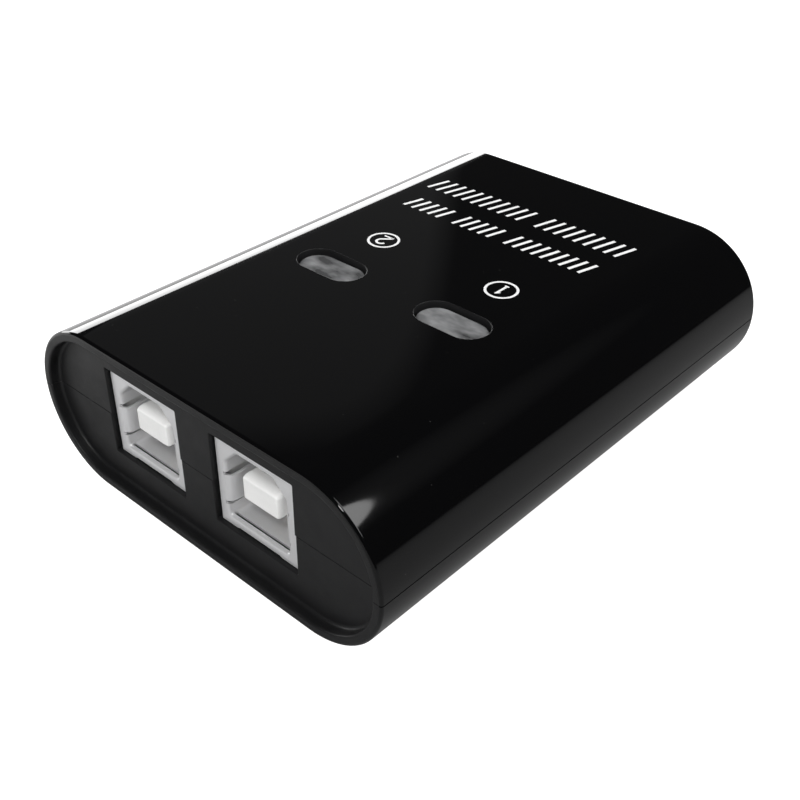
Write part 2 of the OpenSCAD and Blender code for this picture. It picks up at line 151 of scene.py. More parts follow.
class StageSettings(bpy.types.PropertyGroup):
    """Floor, light and camera."""

    lens: bpy.props.FloatProperty(
        name="Focal length", description="Focal length of the camera in millimetres",
        default=49.04, min=20, max=120)
    floor: colour_property("Floor colour", "Colour of the floor", (0.4, 0.4, 0.4))
    sky: bpy.props.FloatProperty(
        name="Fill light", description="Strength of the even light from all round",
        default=0.52, min=0, max=5)
    lit: bpy.props.FloatProperty(
        name="Floor light", description="Light that comes through the floor towards the camera",
        default=1.0, min=0, max=2)


SETTINGS = {
    "switch_case": CaseSettings,
    "switch_sockets": SocketSettings,
    "switch_button": ButtonSettings,
    "switch_print": PrintSettings,
    "switch_stage": StageSettings,
}


# ---------------------------------------------------------------- curves and lofts

def outline(corners, radii, edge_steps=1, arc_steps=6):
    """Closed convex outline through the corners, which run counter-clockwise, as points and outward normals.

    Each corner is an arc of its radius about the point that lies that radius inside both of its edges; its
    normal turns evenly from one edge's normal to the next. Each edge is divided evenly.
    """
    corners = np.asarray(corners, float)
    count = len(corners)
    radii = np.broadcast_to(np.asarray(radii, float), count)
    steps = np.broadcast_to(np.asarray(edge_steps, int), count)
    edges = np.roll(corners, -1, axis=0) - corners
    angles = np.arctan2(-edges[:, 0], edges[:, 1])
    points, normals = [], []
    for i in range(count):
        before, after = angles[i - 1], angles[i]
        turn = (after - before + math.pi) % (2 * math.pi) - math.pi
        a = before + turn * np.linspace(0, 1, arc_steps + 1)
        n = np.stack([np.cos(a), np.sin(a)], axis=1)
        middle = n[0] + n[-1]
        centre = corners[i] - radii[i] * middle / (1 + n[0] @ n[-1])
        points.append(centre + radii[i] * n)
        normals.append(n)
    for i in range(count):
        start, end = points[i][-1], points[(i + 1) % count][0]
        t = np.linspace(0, 1, steps[i] + 1)[1:-1, None]
        points[i] = np.concatenate([points[i], start + (end - start) * t])
        normals[i] = np.concatenate([normals[i], np.repeat(normals[i][-1:], len(t), axis=0)])
    return np.concatenate(points), np.concatenate(normals)


def box_outline(w, h, centre=(0, 0), radius=0.0, edge_steps=1, arc_steps=6):
    """Rounded rectangle of that width and height round a centre."""
    x, y = centre
    corners = [(x + w / 2, y - h / 2), (x + w / 2, y + h / 2), (x - w / 2, y + h / 2), (x - w / 2, y - h / 2)]
    return outline(corners, radius, edge_steps, arc_steps)


def circle_outline(r, centre=(0, 0), steps=64):
    """Circle of radius r round a centre, as points and normals."""
    a = np.linspace(0, 2 * math.pi, steps, endpoint=False)
    n = np.stack([np.cos(a), np.sin(a)], axis=1)
    return np.asarray(centre) + r * n, n


def quarter(count):
    """That many angles from 0 to a right angle."""
    return np.linspace(0, math.pi / 2, count)


def middle_of(node):
    """Middle of a node's box, as (x, y, z)."""
    return tuple((a + b) / 2 for a, b in zip(*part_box(node)))


def ring_y(curve, grow, y):
    """An (x, z) outline moved out along its normals by grow and placed at that y."""
    points, normals = curve
    p = points + grow * normals
    return np.stack([p[:, 0], np.full(len(p), y), p[:, 1]], axis=1)


def ring_z(curve, grow, z):
    """An (x, y) outline moved out along its normals by grow and placed at that z."""
    points, normals = curve
    p = points + grow * normals
    return np.stack([p[:, 0], p[:, 1], np.full(len(p), z)], axis=1)


def quads(rows, columns, loop_rows, loop_columns, start=0):
    """Quads of a grid of points, as index rows; a looped side joins its last points to its first."""
    i = np.arange(rows if loop_rows else rows - 1)[:, None]
    j = np.arange(columns if loop_columns else columns - 1)[None, :]
    down, across = (i + 1) % rows, (j + 1) % columns
    corners = [i * columns + j, i * columns + across, down * columns + across, down * columns + j]
    return start + np.stack(np.broadcast_arrays(*corners), axis=-1).reshape(-1, 4)


def loft(rings, loop=False, paint=0):
    """A solid from a stack of closed rings: (points, faces, paint index of each face).

    Neighbouring rings are joined by quads. The last ring joins the first if loop is true, as in a hollow
    sheet; otherwise the first and last rings are closed by flat faces. paint is one index, or one for each
    quad along a ring, of which the closing faces take the first.
    """
    rings = np.asarray(rings)
    rows, columns = rings.shape[:2]
    strip = np.broadcast_to(paint, columns)
    faces = quads(rows, columns, loop, True).tolist()
    paints = np.tile(strip, rows if loop else rows - 1).tolist()
    if not loop:
        faces.append(list(range(columns)))
        faces.append(list(range((rows - 1) * columns, rows * columns))[::-1])
        paints += [int(strip[0])] * 2
    return rings.reshape(-1, 3), faces, paints


def edge_in(make_ring, curve, r, level, depth, count):
    """Rings of a rounded edge, from an end face to the side: r (sin t - 1) out, depth (1 - cos t) along."""
    return [make_ring(curve, r * (math.sin(t) - 1), level + depth * (1 - math.cos(t)))
            for t in quarter(count)]


def edge_out(make_ring, curve, r, level, depth, count):
    """Rings of a rounded edge, from the side to an end face: r (cos t - 1) out, depth (1 - sin t) back."""
    return [make_ring(curve, r * (math.cos(t) - 1), level - depth * (1 - math.sin(t)))
            for t in quarter(count)]


def flared(make_ring, curve, face, inside, flare, beyond):
    """Cutting tool for a hole: an outline carried from beyond a face to inside, with a rounded mouth.

    Below the face the hole widens towards it by flare * (1 - sin) as the depth goes from flare to 0, which
    leaves a quarter-round edge.
    """
    way = math.copysign(1, inside - face)
    rings = [make_ring(curve, flare, face - way * beyond)]
    rings += edge_in(make_ring, curve, -flare, face, way * flare, 6)
    rings.append(make_ring(curve, 0, inside))
    return loft(rings, paint=1)


def revolve(profile, centre, axis, steps=96):
    """Solid of revolution: profile rows are (radius, level) from one end of the axis to the other."""
    curve = circle_outline(1.0, steps=steps)[1]
    rings = []
    for r, level in profile:
        p = np.zeros((steps, 3))
        others = [i for i in range(3) if i != axis]
        p[:, others] = r * curve
        p[:, axis] = level
        rings.append(p + np.asarray(centre))
    return loft(rings)


def turned(profile, places, steps):
    """Upright solids of revolution of one profile at several (x, y) places."""
    return joined(*[revolve(profile, (x, y, 0), 2, steps) for x, y in places])


def block(low, high, edge=0.0):
    """Box between two corners, its edges rounded by edge."""
    low, high = np.asarray(low, float), np.asarray(high, float)
    size, middle = high - low, (high + low) / 2
    curve = box_outline(size[0], size[1], middle[:2], edge, arc_steps=4 if edge else 1)
    if not edge:
        return loft([ring_z(curve, 0, low[2]), ring_z(curve, 0, high[2])])
    rings = edge_in(ring_z, curve, edge, low[2], edge, 5)
    return loft(rings + edge_out(ring_z, curve, edge, high[2], edge, 5))


def side_block(x, side, inner, outer, y, z):
    """Box across a side wall: from inner to outer away from x on that side, between two y and two z."""
    x0, x1 = sorted((x + side * inner, x + side * outer))
    return block((x0, y[0], z[0]), (x1, y[1], z[1]))


def joined(*patches):
    """Several patches as one."""
    points, faces, paints = [], [], []
    start = 0
    for p, f, c in patches:
        points.append(p)
        faces += [[start + k for k in face] for face in f]
        paints += c
        start += len(p)
    return np.concatenate(points), faces, paints


def painted(patch, paint):
    """The patch with every face given that paint index."""
    return patch[0], patch[1], [paint] * len(patch[1])


def ribbon(path, widths, low, high):
    """Thin raised line: a rectangle carried along an (x, y) path, as wide as widths and from low to high.

    Its sides are the path's points moved half a width along the path's normals, which are the tangents
    turned a quarter turn.
    """
    path = np.asarray(path, float)
    widths = np.broadcast_to(widths, len(path))[:, None]
    tangent = np.gradient(path, axis=0)
    tangent /= np.linalg.norm(tangent, axis=1)[:, None]
    side = np.stack([-tangent[:, 1], tangent[:, 0]], axis=1) * widths / 2
    left, right = path + side, path - side
    levels = [(left, low), (right, low), (right, high), (left, high)]
    rings = np.stack([np.column_stack([p, np.full(len(p), z)]) for p, z in levels], axis=1)
    return loft(rings)


def tube(path, r, sides=12):
    """Round wire: a circle of radius r carried along a 3D path, square to its tangent.

    The circle's two axes are the tangent crossed with a fixed direction, and that crossed with the tangent.
    """
    path = np.asarray(path, float)
    tangent = np.gradient(path, axis=0)
    tangent /= np.linalg.norm(tangent, axis=1)[:, None]
    spare = np.array([0.0, 1.0, 0.0]) if abs(tangent[:, 1]).max() < 0.9 else np.array([0.31, 0.0, 0.95])
    u = np.cross(tangent, spare)
    u /= np.linalg.norm(u, axis=1)[:, None]
    v = np.cross(tangent, u)
    a = np.linspace(0, 2 * math.pi, sides, endpoint=False)
    return loft(path[:, None] + r * (u[:, None] * np.cos(a)[:, None] + v[:, None] * np.sin(a)[:, None]))


# ---------------------------------------------------------------- pieces

def merge_doubles(bm):
    """Merges points that coincide and drops faces of no area."""
    bmesh.ops.remove_doubles(bm, verts=bm.verts, dist=2e-7)
    bmesh.ops.dissolve_degenerate(bm, edges=bm.edges, dist=1e-7)


def mesh_from(name, patch, split=False):
    """Mesh of a patch: doubles merged, faces of no area dropped, normals pointing out.

    split makes triangles of the faces, for a bent sheet whose four-cornered faces are not quite flat.
    """
    points, faces, paints = patch
    mesh = bpy.data.meshes.new(name)
    mesh.from_pydata(points, [], faces)
    mesh.polygons.foreach_set("material_index", np.asarray(paints, np.int32))
    bm = bmesh.new()
    bm.from_mesh(mesh)
    merge_doubles(bm)
    bmesh.ops.recalc_face_normals(bm, faces=bm.faces)
    if split:
        bmesh.ops.triangulate(bm, faces=bm.faces)
    bm.to_mesh(mesh)
    bm.free()
    return mesh


def put(name, patch, split=False):
    """An object of that patch in the scene, with its place in its mesh."""
    piece = bpy.data.objects.new(name, mesh_from(name, patch, split))
    bpy.context.scene.collection.objects.link(piece)
    return piece


def combine(piece, patch, operation):
    """Adds a patch to a piece, or cuts it out of the piece, and keeps the result as the piece's mesh."""
    tool = put(piece.name + "_tool", patch)
    for slot in piece.data.materials:
        tool.data.materials.append(slot)
    change = piece.modifiers.new("combine", "BOOLEAN")
    change.operation = operation
    change.solver = "EXACT"
    change.object = tool
    graph = bpy.context.evaluated_depsgraph_get()
    graph.update()
    made = bpy.data.meshes.new_from_object(piece.evaluated_get(graph))
    piece.modifiers.clear()
    piece.data = made
    bpy.data.objects.remove(tool)


def add(piece, *patches):
    """Joins patches to a piece."""
    combine(piece, joined(*patches), "UNION")


def cut(piece, *patches):
    """Takes patches out of a piece."""
    combine(piece, joined(*patches), "DIFFERENCE")


def finish_piece(piece, body, replaces=(), smooth=30):
    """Smooth shading up to that angle, broad faces kept flat; then the piece's body and the CAD nodes it
    hides.
    """
    bm = bmesh.new()
    bm.from_mesh(piece.data)
    merge_doubles(bm)
    bm.to_mesh(piece.data)
    bm.free()
    piece.data.shade_smooth()
    piece.data.set_sharp_from_angle(angle=math.radians(smooth))
    weighted = piece.modifiers.new("broad_faces", "WEIGHTED_NORMAL")
    weighted.keep_sharp = True
    weighted.weight = 80
    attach(piece, body)
    if replaces:
        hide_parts(*replaces)


def cad_node(name, material):
    """Gives a CAD node that stays in view its finish."""
    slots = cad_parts[name].data.materials
    slots.clear()
    slots.append(material)


# ---------------------------------------------------------------- shader groups and materials

def new_group(name, inputs, outputs):
    """An empty shader group with those sockets, given as {name: (kind, default)} and {name: kind}."""
    group = bpy.data.node_groups.new(name, "ShaderNodeTree")
    for label, (kind, value) in inputs.items():
        socket = group.interface.new_socket(name=label, in_out="INPUT", socket_type="NodeSocket" + kind)
        if kind != "Vector":
            socket.default_value = value
    for label, kind in outputs.items():
        group.interface.new_socket(name=label, in_out="OUTPUT", socket_type="NodeSocket" + kind)
    return group, group.nodes.new("NodeGroupInput").outputs, group.nodes.new("NodeGroupOutput").inputs


def math_node(tree, operation, *values, clamp=False):
    """A math node fed by sockets or numbers; returns its result."""
    node = tree.nodes.new("ShaderNodeMath")
    node.operation = operation
    node.use_clamp = clamp
    for socket, value in zip(node.inputs, values):
        feed(tree, socket, value)
    return node.outputs[0]


def feed(tree, socket, value):
    """Links a socket to another, or sets it to a plain value."""
    if isinstance(value, bpy.types.NodeSocket):
        tree.links.new(value, socket)
    else:
        socket.default_value = value


def ramp(tree, value, low, high, start=0.0, end=1.0):
    """The value mapped from low..high to start..end, and kept inside."""
    node = tree.nodes.new("ShaderNodeMapRange")
    for socket, setting in zip(node.inputs, (value, low, high, start, end)):
        feed(tree, socket, setting)
    return node.outputs["Result"]


def noise(tree, vector, scale, detail=2.0, rough=0.5, stretch=None):
    """Noise from 0 to 1 at that many cells a metre, its coordinates stretched by a vector if one is given."""
    if stretch:
        mapping = tree.nodes.new("ShaderNodeMapping")
        mapping.inputs["Scale"].default_value = stretch
        tree.links.new(vector, mapping.inputs["Vector"])
        vector = mapping.outputs["Vector"]
    node = tree.nodes.new("ShaderNodeTexNoise")
    tree.links.new(vector, node.inputs["Vector"])
    feed(tree, node.inputs["Scale"], scale)
    node.inputs["Detail"].default_value = detail
    node.inputs["Roughness"].default_value = rough
    return node.outputs["Fac"]


def mix_colour(tree, share, first, second):
    """Mix of two colours by a share from 0 to 1."""
    node = tree.nodes.new("ShaderNodeMix")
    node.data_type = "RGBA"
    feed(tree, node.inputs["Factor"], share)
    feed(tree, node.inputs["A"], first)
    feed(tree, node.inputs["B"], second)
    return node.outputs["Result"]


def surface_group():
    """Moulded or cast surface: broad patches shift colour and roughness, and a fine grain gives a height."""
    group, given, out = new_group(
        "moulded_surface",
        {"Vector": ("Vector", None), "Colour": ("Color", (0.5, 0.5, 0.5, 1)),
         "Second Colour": ("Color", (0.5, 0.5, 0.5, 1)), "Patch Scale": ("Float", 200.0),
         "Low Roughness": ("Float", 0.3), "High Roughness": ("Float", 0.5), "Grain Scale": ("Float", 4000.0)},
        {"Colour": "Color", "Roughness": "Float", "Height": "Float"})
    patch = ramp(group, noise(group, given["Vector"], given["Patch Scale"], 4.0, 0.6), 0.32, 0.68)
    grain = noise(group, given["Vector"], given["Grain Scale"], 3.0, 0.6)
    spread = math_node(group, "MULTIPLY", math_node(group, "SUBTRACT", grain, 0.5), 0.6)
    share = math_node(group, "ADD", patch, spread, clamp=True)
    feed(group, out["Colour"], mix_colour(group, share, given["Colour"], given["Second Colour"]))
    roughness = ramp(group, share, 0.0, 1.0, given["Low Roughness"], given["High Roughness"])
    feed(group, out["Roughness"], roughness)
    feed(group, out["Height"], grain)
    return group


def handling_group():
    """Fingerprints and fine dust on polished plastic: broad smears and sparse specks raise the roughness."""
    group, given, out = new_group(
        "handling_marks",
        {"Vector": ("Vector", None), "Clean Roughness": ("Float", 0.05), "Smeared Roughness": ("Float", 0.12),
         "Smear Scale": ("Float", 60.0), "Speck Scale": ("Float", 900.0)},
        {"Roughness": "Float", "Specks": "Float", "Height": "Float"})
    smear = noise(group, given["Vector"], given["Smear Scale"], 5.0, 0.55, stretch=(1.0, 0.45, 1.0))
    smear = ramp(group, smear, 0.48, 0.72)
    cells = group.nodes.new("ShaderNodeTexVoronoi")
    group.links.new(given["Vector"], cells.inputs["Vector"])
    group.links.new(given["Speck Scale"], cells.inputs["Scale"])
    chosen = math_node(group, "GREATER_THAN", noise(group, given["Vector"], 310.0, 1.0), 0.66)
    speck = math_node(group, "MULTIPLY", ramp(group, cells.outputs["Distance"], 0.02, 0.09, 1.0, 0.0), chosen)
    feed(group, out["Roughness"],
         ramp(group, smear, 0.0, 1.0, given["Clean Roughness"], given["Smeared Roughness"]))
    feed(group, out["Specks"], speck)
    feed(group, out["Height"], noise(group, given["Vector"], 42.0, 2.0, 0.4))
    return group


def rolled_group():
    """Rolled and plated sheet: long fine lines along one axis, with cloudy patches of plating."""
    group, given, out = new_group(
        "rolled_sheet",
        {"Vector": ("Vector", None), "Colour": ("Color", (0.8, 0.8, 0.8, 1)),
         "Dull Colour": ("Color", (0.6, 0.6, 0.6, 1)), "Low Roughness": ("Float", 0.15),
         "High Roughness": ("Float", 0.3)},
        {"Colour": "Color", "Roughness": "Float", "Height": "Float"})
    lines = noise(group, given["Vector"], 2600.0, 3.0, 0.6, stretch=(1.0, 0.06, 1.0))
    cloud = ramp(group, noise(group, given["Vector"], 420.0, 4.0, 0.6), 0.35, 0.7)
    share = math_node(group, "MULTIPLY_ADD", lines, 0.35, math_node(group, "MULTIPLY", cloud, 0.65))
    feed(group, out["Colour"], mix_colour(group, share, given["Colour"], given["Dull Colour"]))
    roughness = ramp(group, share, 0.15, 0.85, given["Low Roughness"], given["High Roughness"])
    feed(group, out["Roughness"], roughness)
    feed(group, out["Height"], lines)
    return group


def colour4(colour, factor=1.0):
    """A colour times a factor, with full alpha."""
    return tuple(min(1.0, c * factor) for c in colour) + (1.0,)


def blank_material(name, constants):
    """A new material and its parts: (material, tree, shader, object coordinates)."""
    material = bpy.data.materials.new(name)
    material.use_nodes = True
    tree = material.node_tree
    shader = tree.nodes["Principled BSDF"]
    for label, value in constants.items():
        shader.inputs[label].default_value = value
    return material, tree, shader, tree.nodes.new("ShaderNodeTexCoord").outputs["Object"]


def place_group(tree, group, vector, **values):
    """A group node with those inputs, whose names are written with underscores for spaces."""
    node = tree.nodes.new("ShaderNodeGroup")
    node.node_tree = group
    feed(tree, node.inputs["Vector"], vector)
    for label, value in values.items():
        feed(tree, node.inputs[label.replace("_", " ").title()], value)
    return node


def bump(tree, shader, height, depth):
    """Feeds a height into the shader's normal; depth is the relief in metres."""
    node = tree.nodes.new("ShaderNodeBump")
    node.inputs["Strength"].default_value = 1.0
    node.inputs["Distance"].default_value = depth
    tree.links.new(height, node.inputs["Height"])
    tree.links.new(node.outputs["Normal"], shader.inputs["Normal"])


def moulded(name, colour, rough, spread=0.12, patches=200.0, grain=4000.0, depth=0.004 * MM, **constants):
    """Moulded plastic, rubber or ceramic: a colour and its slightly changed second shade."""
    material, tree, shader, place = blank_material(name, constants)
    node = place_group(
        tree, GROUPS["surface"], place, colour=colour4(colour, 1 - spread),
        second_colour=colour4(colour, 1 + spread), patch_scale=patches, low_roughness=rough[0],
        high_roughness=rough[1], grain_scale=grain)
    feed(tree, shader.inputs["Base Color"], node.outputs["Colour"])
    feed(tree, shader.inputs["Roughness"], node.outputs["Roughness"])
    bump(tree, shader, node.outputs["Height"], depth)
    return material


def plated(name, colour, rough, dull=0.72, depth=0.0006 * MM, metallic=1.0):
    """Plated or bare metal sheet and wire; matt plating is less than wholly metallic and has no relief."""
    material, tree, shader, place = blank_material(name, {"Metallic": metallic})
    node = place_group(
        tree, GROUPS["rolled"], place, colour=colour4(colour), dull_colour=colour4(colour, dull),
        low_roughness=rough[0], high_roughness=rough[1])
    feed(tree, shader.inputs["Base Color"], node.outputs["Colour"])
    feed(tree, shader.inputs["Roughness"], node.outputs["Roughness"])
    if depth:
        bump(tree, shader, node.outputs["Height"], depth)
    return material


def polished_black(colour):
    """High-gloss moulded black with faint smears, a few specks of dust and a thin wall's slight waves."""
    material, tree, shader, place = blank_material("polished_black", {"IOR": 1.42})
    node = place_group(tree, GROUPS["handling"], place, clean_roughness=0.045, smeared_roughness=0.085)
    dusty = mix_colour(tree, node.outputs["Specks"], colour4(colour), (0.03, 0.03, 0.029, 1))
    feed(tree, shader.inputs["Base Color"], dusty)
    feed(tree, shader.inputs["Roughness"], node.outputs["Roughness"])
    bump(tree, shader, node.outputs["Height"], 0.012 * MM)
    return material


def solder_mask():
    """Green board: raised copper tracks under the mask, worked out from the distance to cell borders."""
    material, tree, shader, place = blank_material("solder_mask", {"IOR": 1.5})
    cells = tree.nodes.new("ShaderNodeTexVoronoi")
    cells.feature = "DISTANCE_TO_EDGE"
    tree.links.new(place, cells.inputs["Vector"])
    cells.inputs["Scale"].default_value = 260.0
    track = ramp(tree, cells.outputs["Distance"], 0.05, 0.09, 1.0, 0.0)
    feed(tree, shader.inputs["Base Color"],
         mix_colour(tree, track, (0.006, 0.075, 0.03, 1), (0.015, 0.16, 0.06, 1)))
    feed(tree, shader.inputs["Roughness"], ramp(tree, noise(tree, place, 500.0), 0.3, 0.7, 0.22, 0.34))
    bump(tree, shader, track, 0.02 * MM)
    return material


def cloudy_lens():
    """Milky translucent plastic: the cloud is thicker in places and the surface slightly frosted."""
    material, tree, shader, place = blank_material(
        "cloudy_lens", {"IOR": 1.49, "Transmission Weight": 0.3})
    cloud = ramp(tree, noise(tree, place, 300.0, 3.0, 0.5, stretch=(0.7, 1.3, 1.0)), 0.36, 0.62)
    feed(tree, shader.inputs["Base Color"],
         mix_colour(tree, cloud, (0.075, 0.076, 0.078, 1), (0.34, 0.344, 0.35, 1)))
    feed(tree, shader.inputs["Roughness"], ramp(tree, cloud, 0.0, 1.0, 0.14, 0.26))
    bump(tree, shader, noise(tree, place, 900.0, 2.0), 0.002 * MM)
    return material


GROUPS = {}
FINISHES = {}


def make_materials(scene):
    """The shared groups, and one material for each finish of the object."""
    case, sockets, button, printed = (
        scene.switch_case, scene.switch_sockets, scene.switch_button, scene.switch_print)
    GROUPS["surface"] = surface_group()
    GROUPS["handling"] = handling_group()
    GROUPS["rolled"] = rolled_group()
    made = [
        polished_black(case.gloss),
        moulded("satin_black", case.satin, (0.36, 0.48), 0.08, 260.0, 5200.0, 0.005 * MM,
                **{"Specular IOR Level": 0.31}),
        moulded("rubber", (0.012, 0.012, 0.012), (0.7, 0.85), 0.15, 400.0, 3000.0, 0.02 * MM),
        plated("zinc_plate", (0.62, 0.63, 0.66), (0.25, 0.42)),
        solder_mask(),
        plated("tin_plate", sockets.metal, (0.36, 0.4), 0.99, 0, 0.66),
        moulded("white_plastic", sockets.plastic, (0.34, 0.46), 0.04, 300.0, 3500.0, 0.003 * MM),
        plated("gold_flash", (0.86, 0.62, 0.24), (0.18, 0.3), 0.85),
        moulded("switch_black", (0.02, 0.02, 0.021), (0.4, 0.52), 0.1, 300.0, 4000.0),
        plated("plated_steel", (0.68, 0.68, 0.7), (0.24, 0.4)),
        plated("tinned_wire", (0.74, 0.74, 0.75), (0.3, 0.45)),
        moulded("white_nylon", (0.74, 0.74, 0.7), (0.38, 0.5), 0.05, 300.0, 2600.0,
                **{"Subsurface Weight": 0.1, "Subsurface Scale": 0.4 * MM}),
        plated("spring_steel", (0.56, 0.56, 0.58), (0.18, 0.3)),
        moulded("button_black", button.colour, (0.3, 0.42), 0.1, 260.0, 5200.0, 0.004 * MM),
        moulded("clear_resin", (0.86, 0.88, 0.88), (0.04, 0.09), 0.03, 260.0, 900.0, 0.001 * MM,
                **{"Transmission Weight": 0.9, "IOR": 1.54}),
        moulded("white_spacer", (0.68, 0.68, 0.66), (0.4, 0.55), 0.05),
        cloudy_lens(),
        moulded("sleeve_blue", (0.012, 0.018, 0.07), (0.22, 0.34), 0.12, 180.0, 1800.0),
        moulded("chip_ceramic", (0.03, 0.03, 0.032), (0.3, 0.45), 0.15, 900.0, 6000.0),
        moulded("ink", printed.ink, (0.42, 0.55), 0.05, 500.0, 5000.0, 0.002 * MM),
    ]
    FINISHES.update({m.name: m for m in made})


def give(piece, *names):
    """Gives a piece its finishes, in the order of its paint indexes."""
    for name in names:
        piece.data.materials.append(FINISHES[name])


# ---------------------------------------------------------------- case

def case_loop(s):
    """Section of one half's wall as points in (depth, y): cavity inside; panel, rim and skin outside.

    Also gives each point's normal, 1 where it is on the outside, the way that the two points on the middle
    line of a panel's outer face look, and the paint of the face after each point.
    """
    far, inner = SIDE_R, s.wall
    front, rear = FRONT + s.recess, REAR - s.recess
    corners = [
        (far, front), (far, front + s.wall), (inner, front + s.wall), (inner, rear - s.wall),
        (far, rear - s.wall), (far, rear), (far - s.groove, rear), (s.rim, rear), (s.rim, REAR),
        (0, REAR), (0, FRONT), (s.rim, FRONT), (s.rim, front), (far - s.groove, front)]
    soft, inside = s.edge * 0.6, -0.5 * MM
    radii = [0, 0, inside, inside, 0, 0, 0, -s.edge, soft, s.edge, s.edge, soft, -s.edge, 0]
    steps = [1, 2, 12, 2, 1, 1, 3, 2, 1, 14, 1, 2, 3, 1]
    arc_steps = 5
    points, normals = outline(corners, radii, steps, arc_steps)
    corner_of = np.repeat(np.arange(len(corners)), [arc_steps + n for n in steps])
    outside = (corner_of >= 5) | (corner_of == 0)
    looks = np.where(corner_of == 0, -1.0, np.where(corner_of == 5, 1.0, 0.0))
    glossy = (corner_of == 9) | (corner_of == 10)
    glossy[np.flatnonzero(corner_of == 10)[arc_steps:]] = False
    return points, normals, outside.astype(float), looks, np.where(glossy, 0, 1)


def case_half(name, up, s, skin_drop):
    """One half of the case: its wall section carried round half of the case's outline.

    Column t of the grid stands at angle a on the right side, then along the straight top, then round the
    left side: x = centre + (R - depth) cos a, z = parting + up (g (1 - sin a) + (R - depth) sin a), where g
    is the groove's size and fades to 0 at depth R. A last column at each end lies in the parting plane,
    with its outside moved in by g.
    """
    points, normals, outside, looks, paint = case_loop(s)
    g = s.groove
    arc = np.linspace(0, math.pi / 2, 40)
    straight = np.linspace(SIDE_X, -SIDE_X, 27)[1:-1]
    angle = np.concatenate([arc, np.full(len(straight), math.pi / 2), math.pi - arc[::-1]])
    centre = np.concatenate([np.full(len(arc), SIDE_X), straight, np.full(len(arc), -SIDE_X)])
    depth, y = np.maximum(points[:, 0], skin_drop), points[:, 1]
    sin, cos = np.sin(angle)[:, None], np.cos(angle)[:, None]
    x = centre[:, None] + (SIDE_R - depth) * cos
    chamfer = g * (1 - sin) * np.clip((SIDE_R - depth) / g, 0, 1)
    z = PARTING + up * (chamfer + (SIDE_R - depth) * sin)
    rings = np.stack([x, np.broadcast_to(y - looks * g, x.shape), z], axis=-1)
    moved = points - g * outside[:, None] * np.where(looks[:, None] == 0, normals, 0)
    depth, y = np.maximum(moved[:, 0], skin_drop), moved[:, 1] - looks * g
    ends = [np.stack([side * (SIDE_X + SIDE_R - depth), y, np.full(len(y), PARTING)], axis=-1)
            for side in (1, -1)]
    return put(name, loft(np.concatenate([ends[:1], rings, ends[1:]]), paint=paint))


def drum(r, centre, low, high):
    """Upright cylinder, for a boss or a hole."""
    curve = circle_outline(r, centre, 48)
    return loft([ring_z(curve, 0, low), ring_z(curve, 0, high)], paint=1)


def four_places(node, r):
    """Centres (x, y) of the four like pieces of a node, which reach r beyond their centres."""
    low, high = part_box(node)
    return [(x, y) for x in (low.x + r, high.x - r) for y in (low.y + r, high.y - r)]


def window_tools(width, s):
    """Holes in the end panels: two B sockets of that width, the A socket and the button's bore."""
    front, rear = FRONT + s.recess, REAR - s.recess
    deep, flare, beyond = 2.8 * MM, 0.14 * MM, 1 * MM
    tools = []
    for node in ("b_socket_shell_1", "b_socket_shell_2"):
        bottom, top = BOARD_TOP - 0.2 * MM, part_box(node)[1].z + 0.25 * MM
        curve = box_outline(width, top - bottom, (middle_of(node)[0], (top + bottom) / 2), 0.12 * MM)
        tools.append(flared(ring_y, curve, front, front + deep, flare, beyond))
    low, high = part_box("a_socket_shell")
    x = middle_of("a_socket_shell")[0]
    bottom, top = BOARD_TOP - 0.1 * MM, high.z + 0.2 * MM
    curve = box_outline(high.x - low.x + 0.4 * MM, top - bottom, (x, (top + bottom) / 2), 0.3 * MM)
    tools.append(flared(ring_y, curve, rear, rear - deep, flare, beyond))
    low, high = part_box("button_cap")
    x, _, z = middle_of("button_cap")
    curve = circle_outline((high.x - low.x) / 2 + 0.25 * MM, (x, z), 96)
    tools.append(flared(ring_y, curve, rear, rear - deep, 0.3 * MM, beyond))
    return tools


def side_bars(gap, low, high, s):
    """The two bars of the lip along the sides: from the cavity's skin outwards, between two levels."""
    thick = 0.8 * MM + gap
    y0, y1 = FRONT + s.recess + s.wall + 0.15 * MM - gap, REAR - s.recess - s.wall - 0.15 * MM + gap
    inner = SIDE_R - s.wall
    z = np.linspace(low, high, 7)
    bars = []
    for side in (1, -1):
        skin = np.sqrt(inner ** 2 - (z - PARTING) ** 2)
        outer = np.sqrt((inner + thick) ** 2 - (z - PARTING) ** 2)
        edge = np.concatenate([np.stack([side * (SIDE_X + skin), z], 1),
                               np.stack([side * (SIDE_X + outer), z], 1)[::-1]])
        bars.append(loft([np.stack([edge[:, 0], np.full(len(edge), y), edge[:, 1]], 1) for y in (y0, y1)],
                         paint=1))
    return bars


def window_shape(node, out):
    """Stadium of the window over a lens, grown by out."""
    low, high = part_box(node)
    flange = 1.1 * MM
    length, width = high.x - low.x - 2 * flange + 2 * out, high.y - low.y - 2 * flange + 2 * out
    return box_outline(length, width, middle_of(node)[:2], width / 2 - 1e-6, (1, 12, 1, 12), 14)


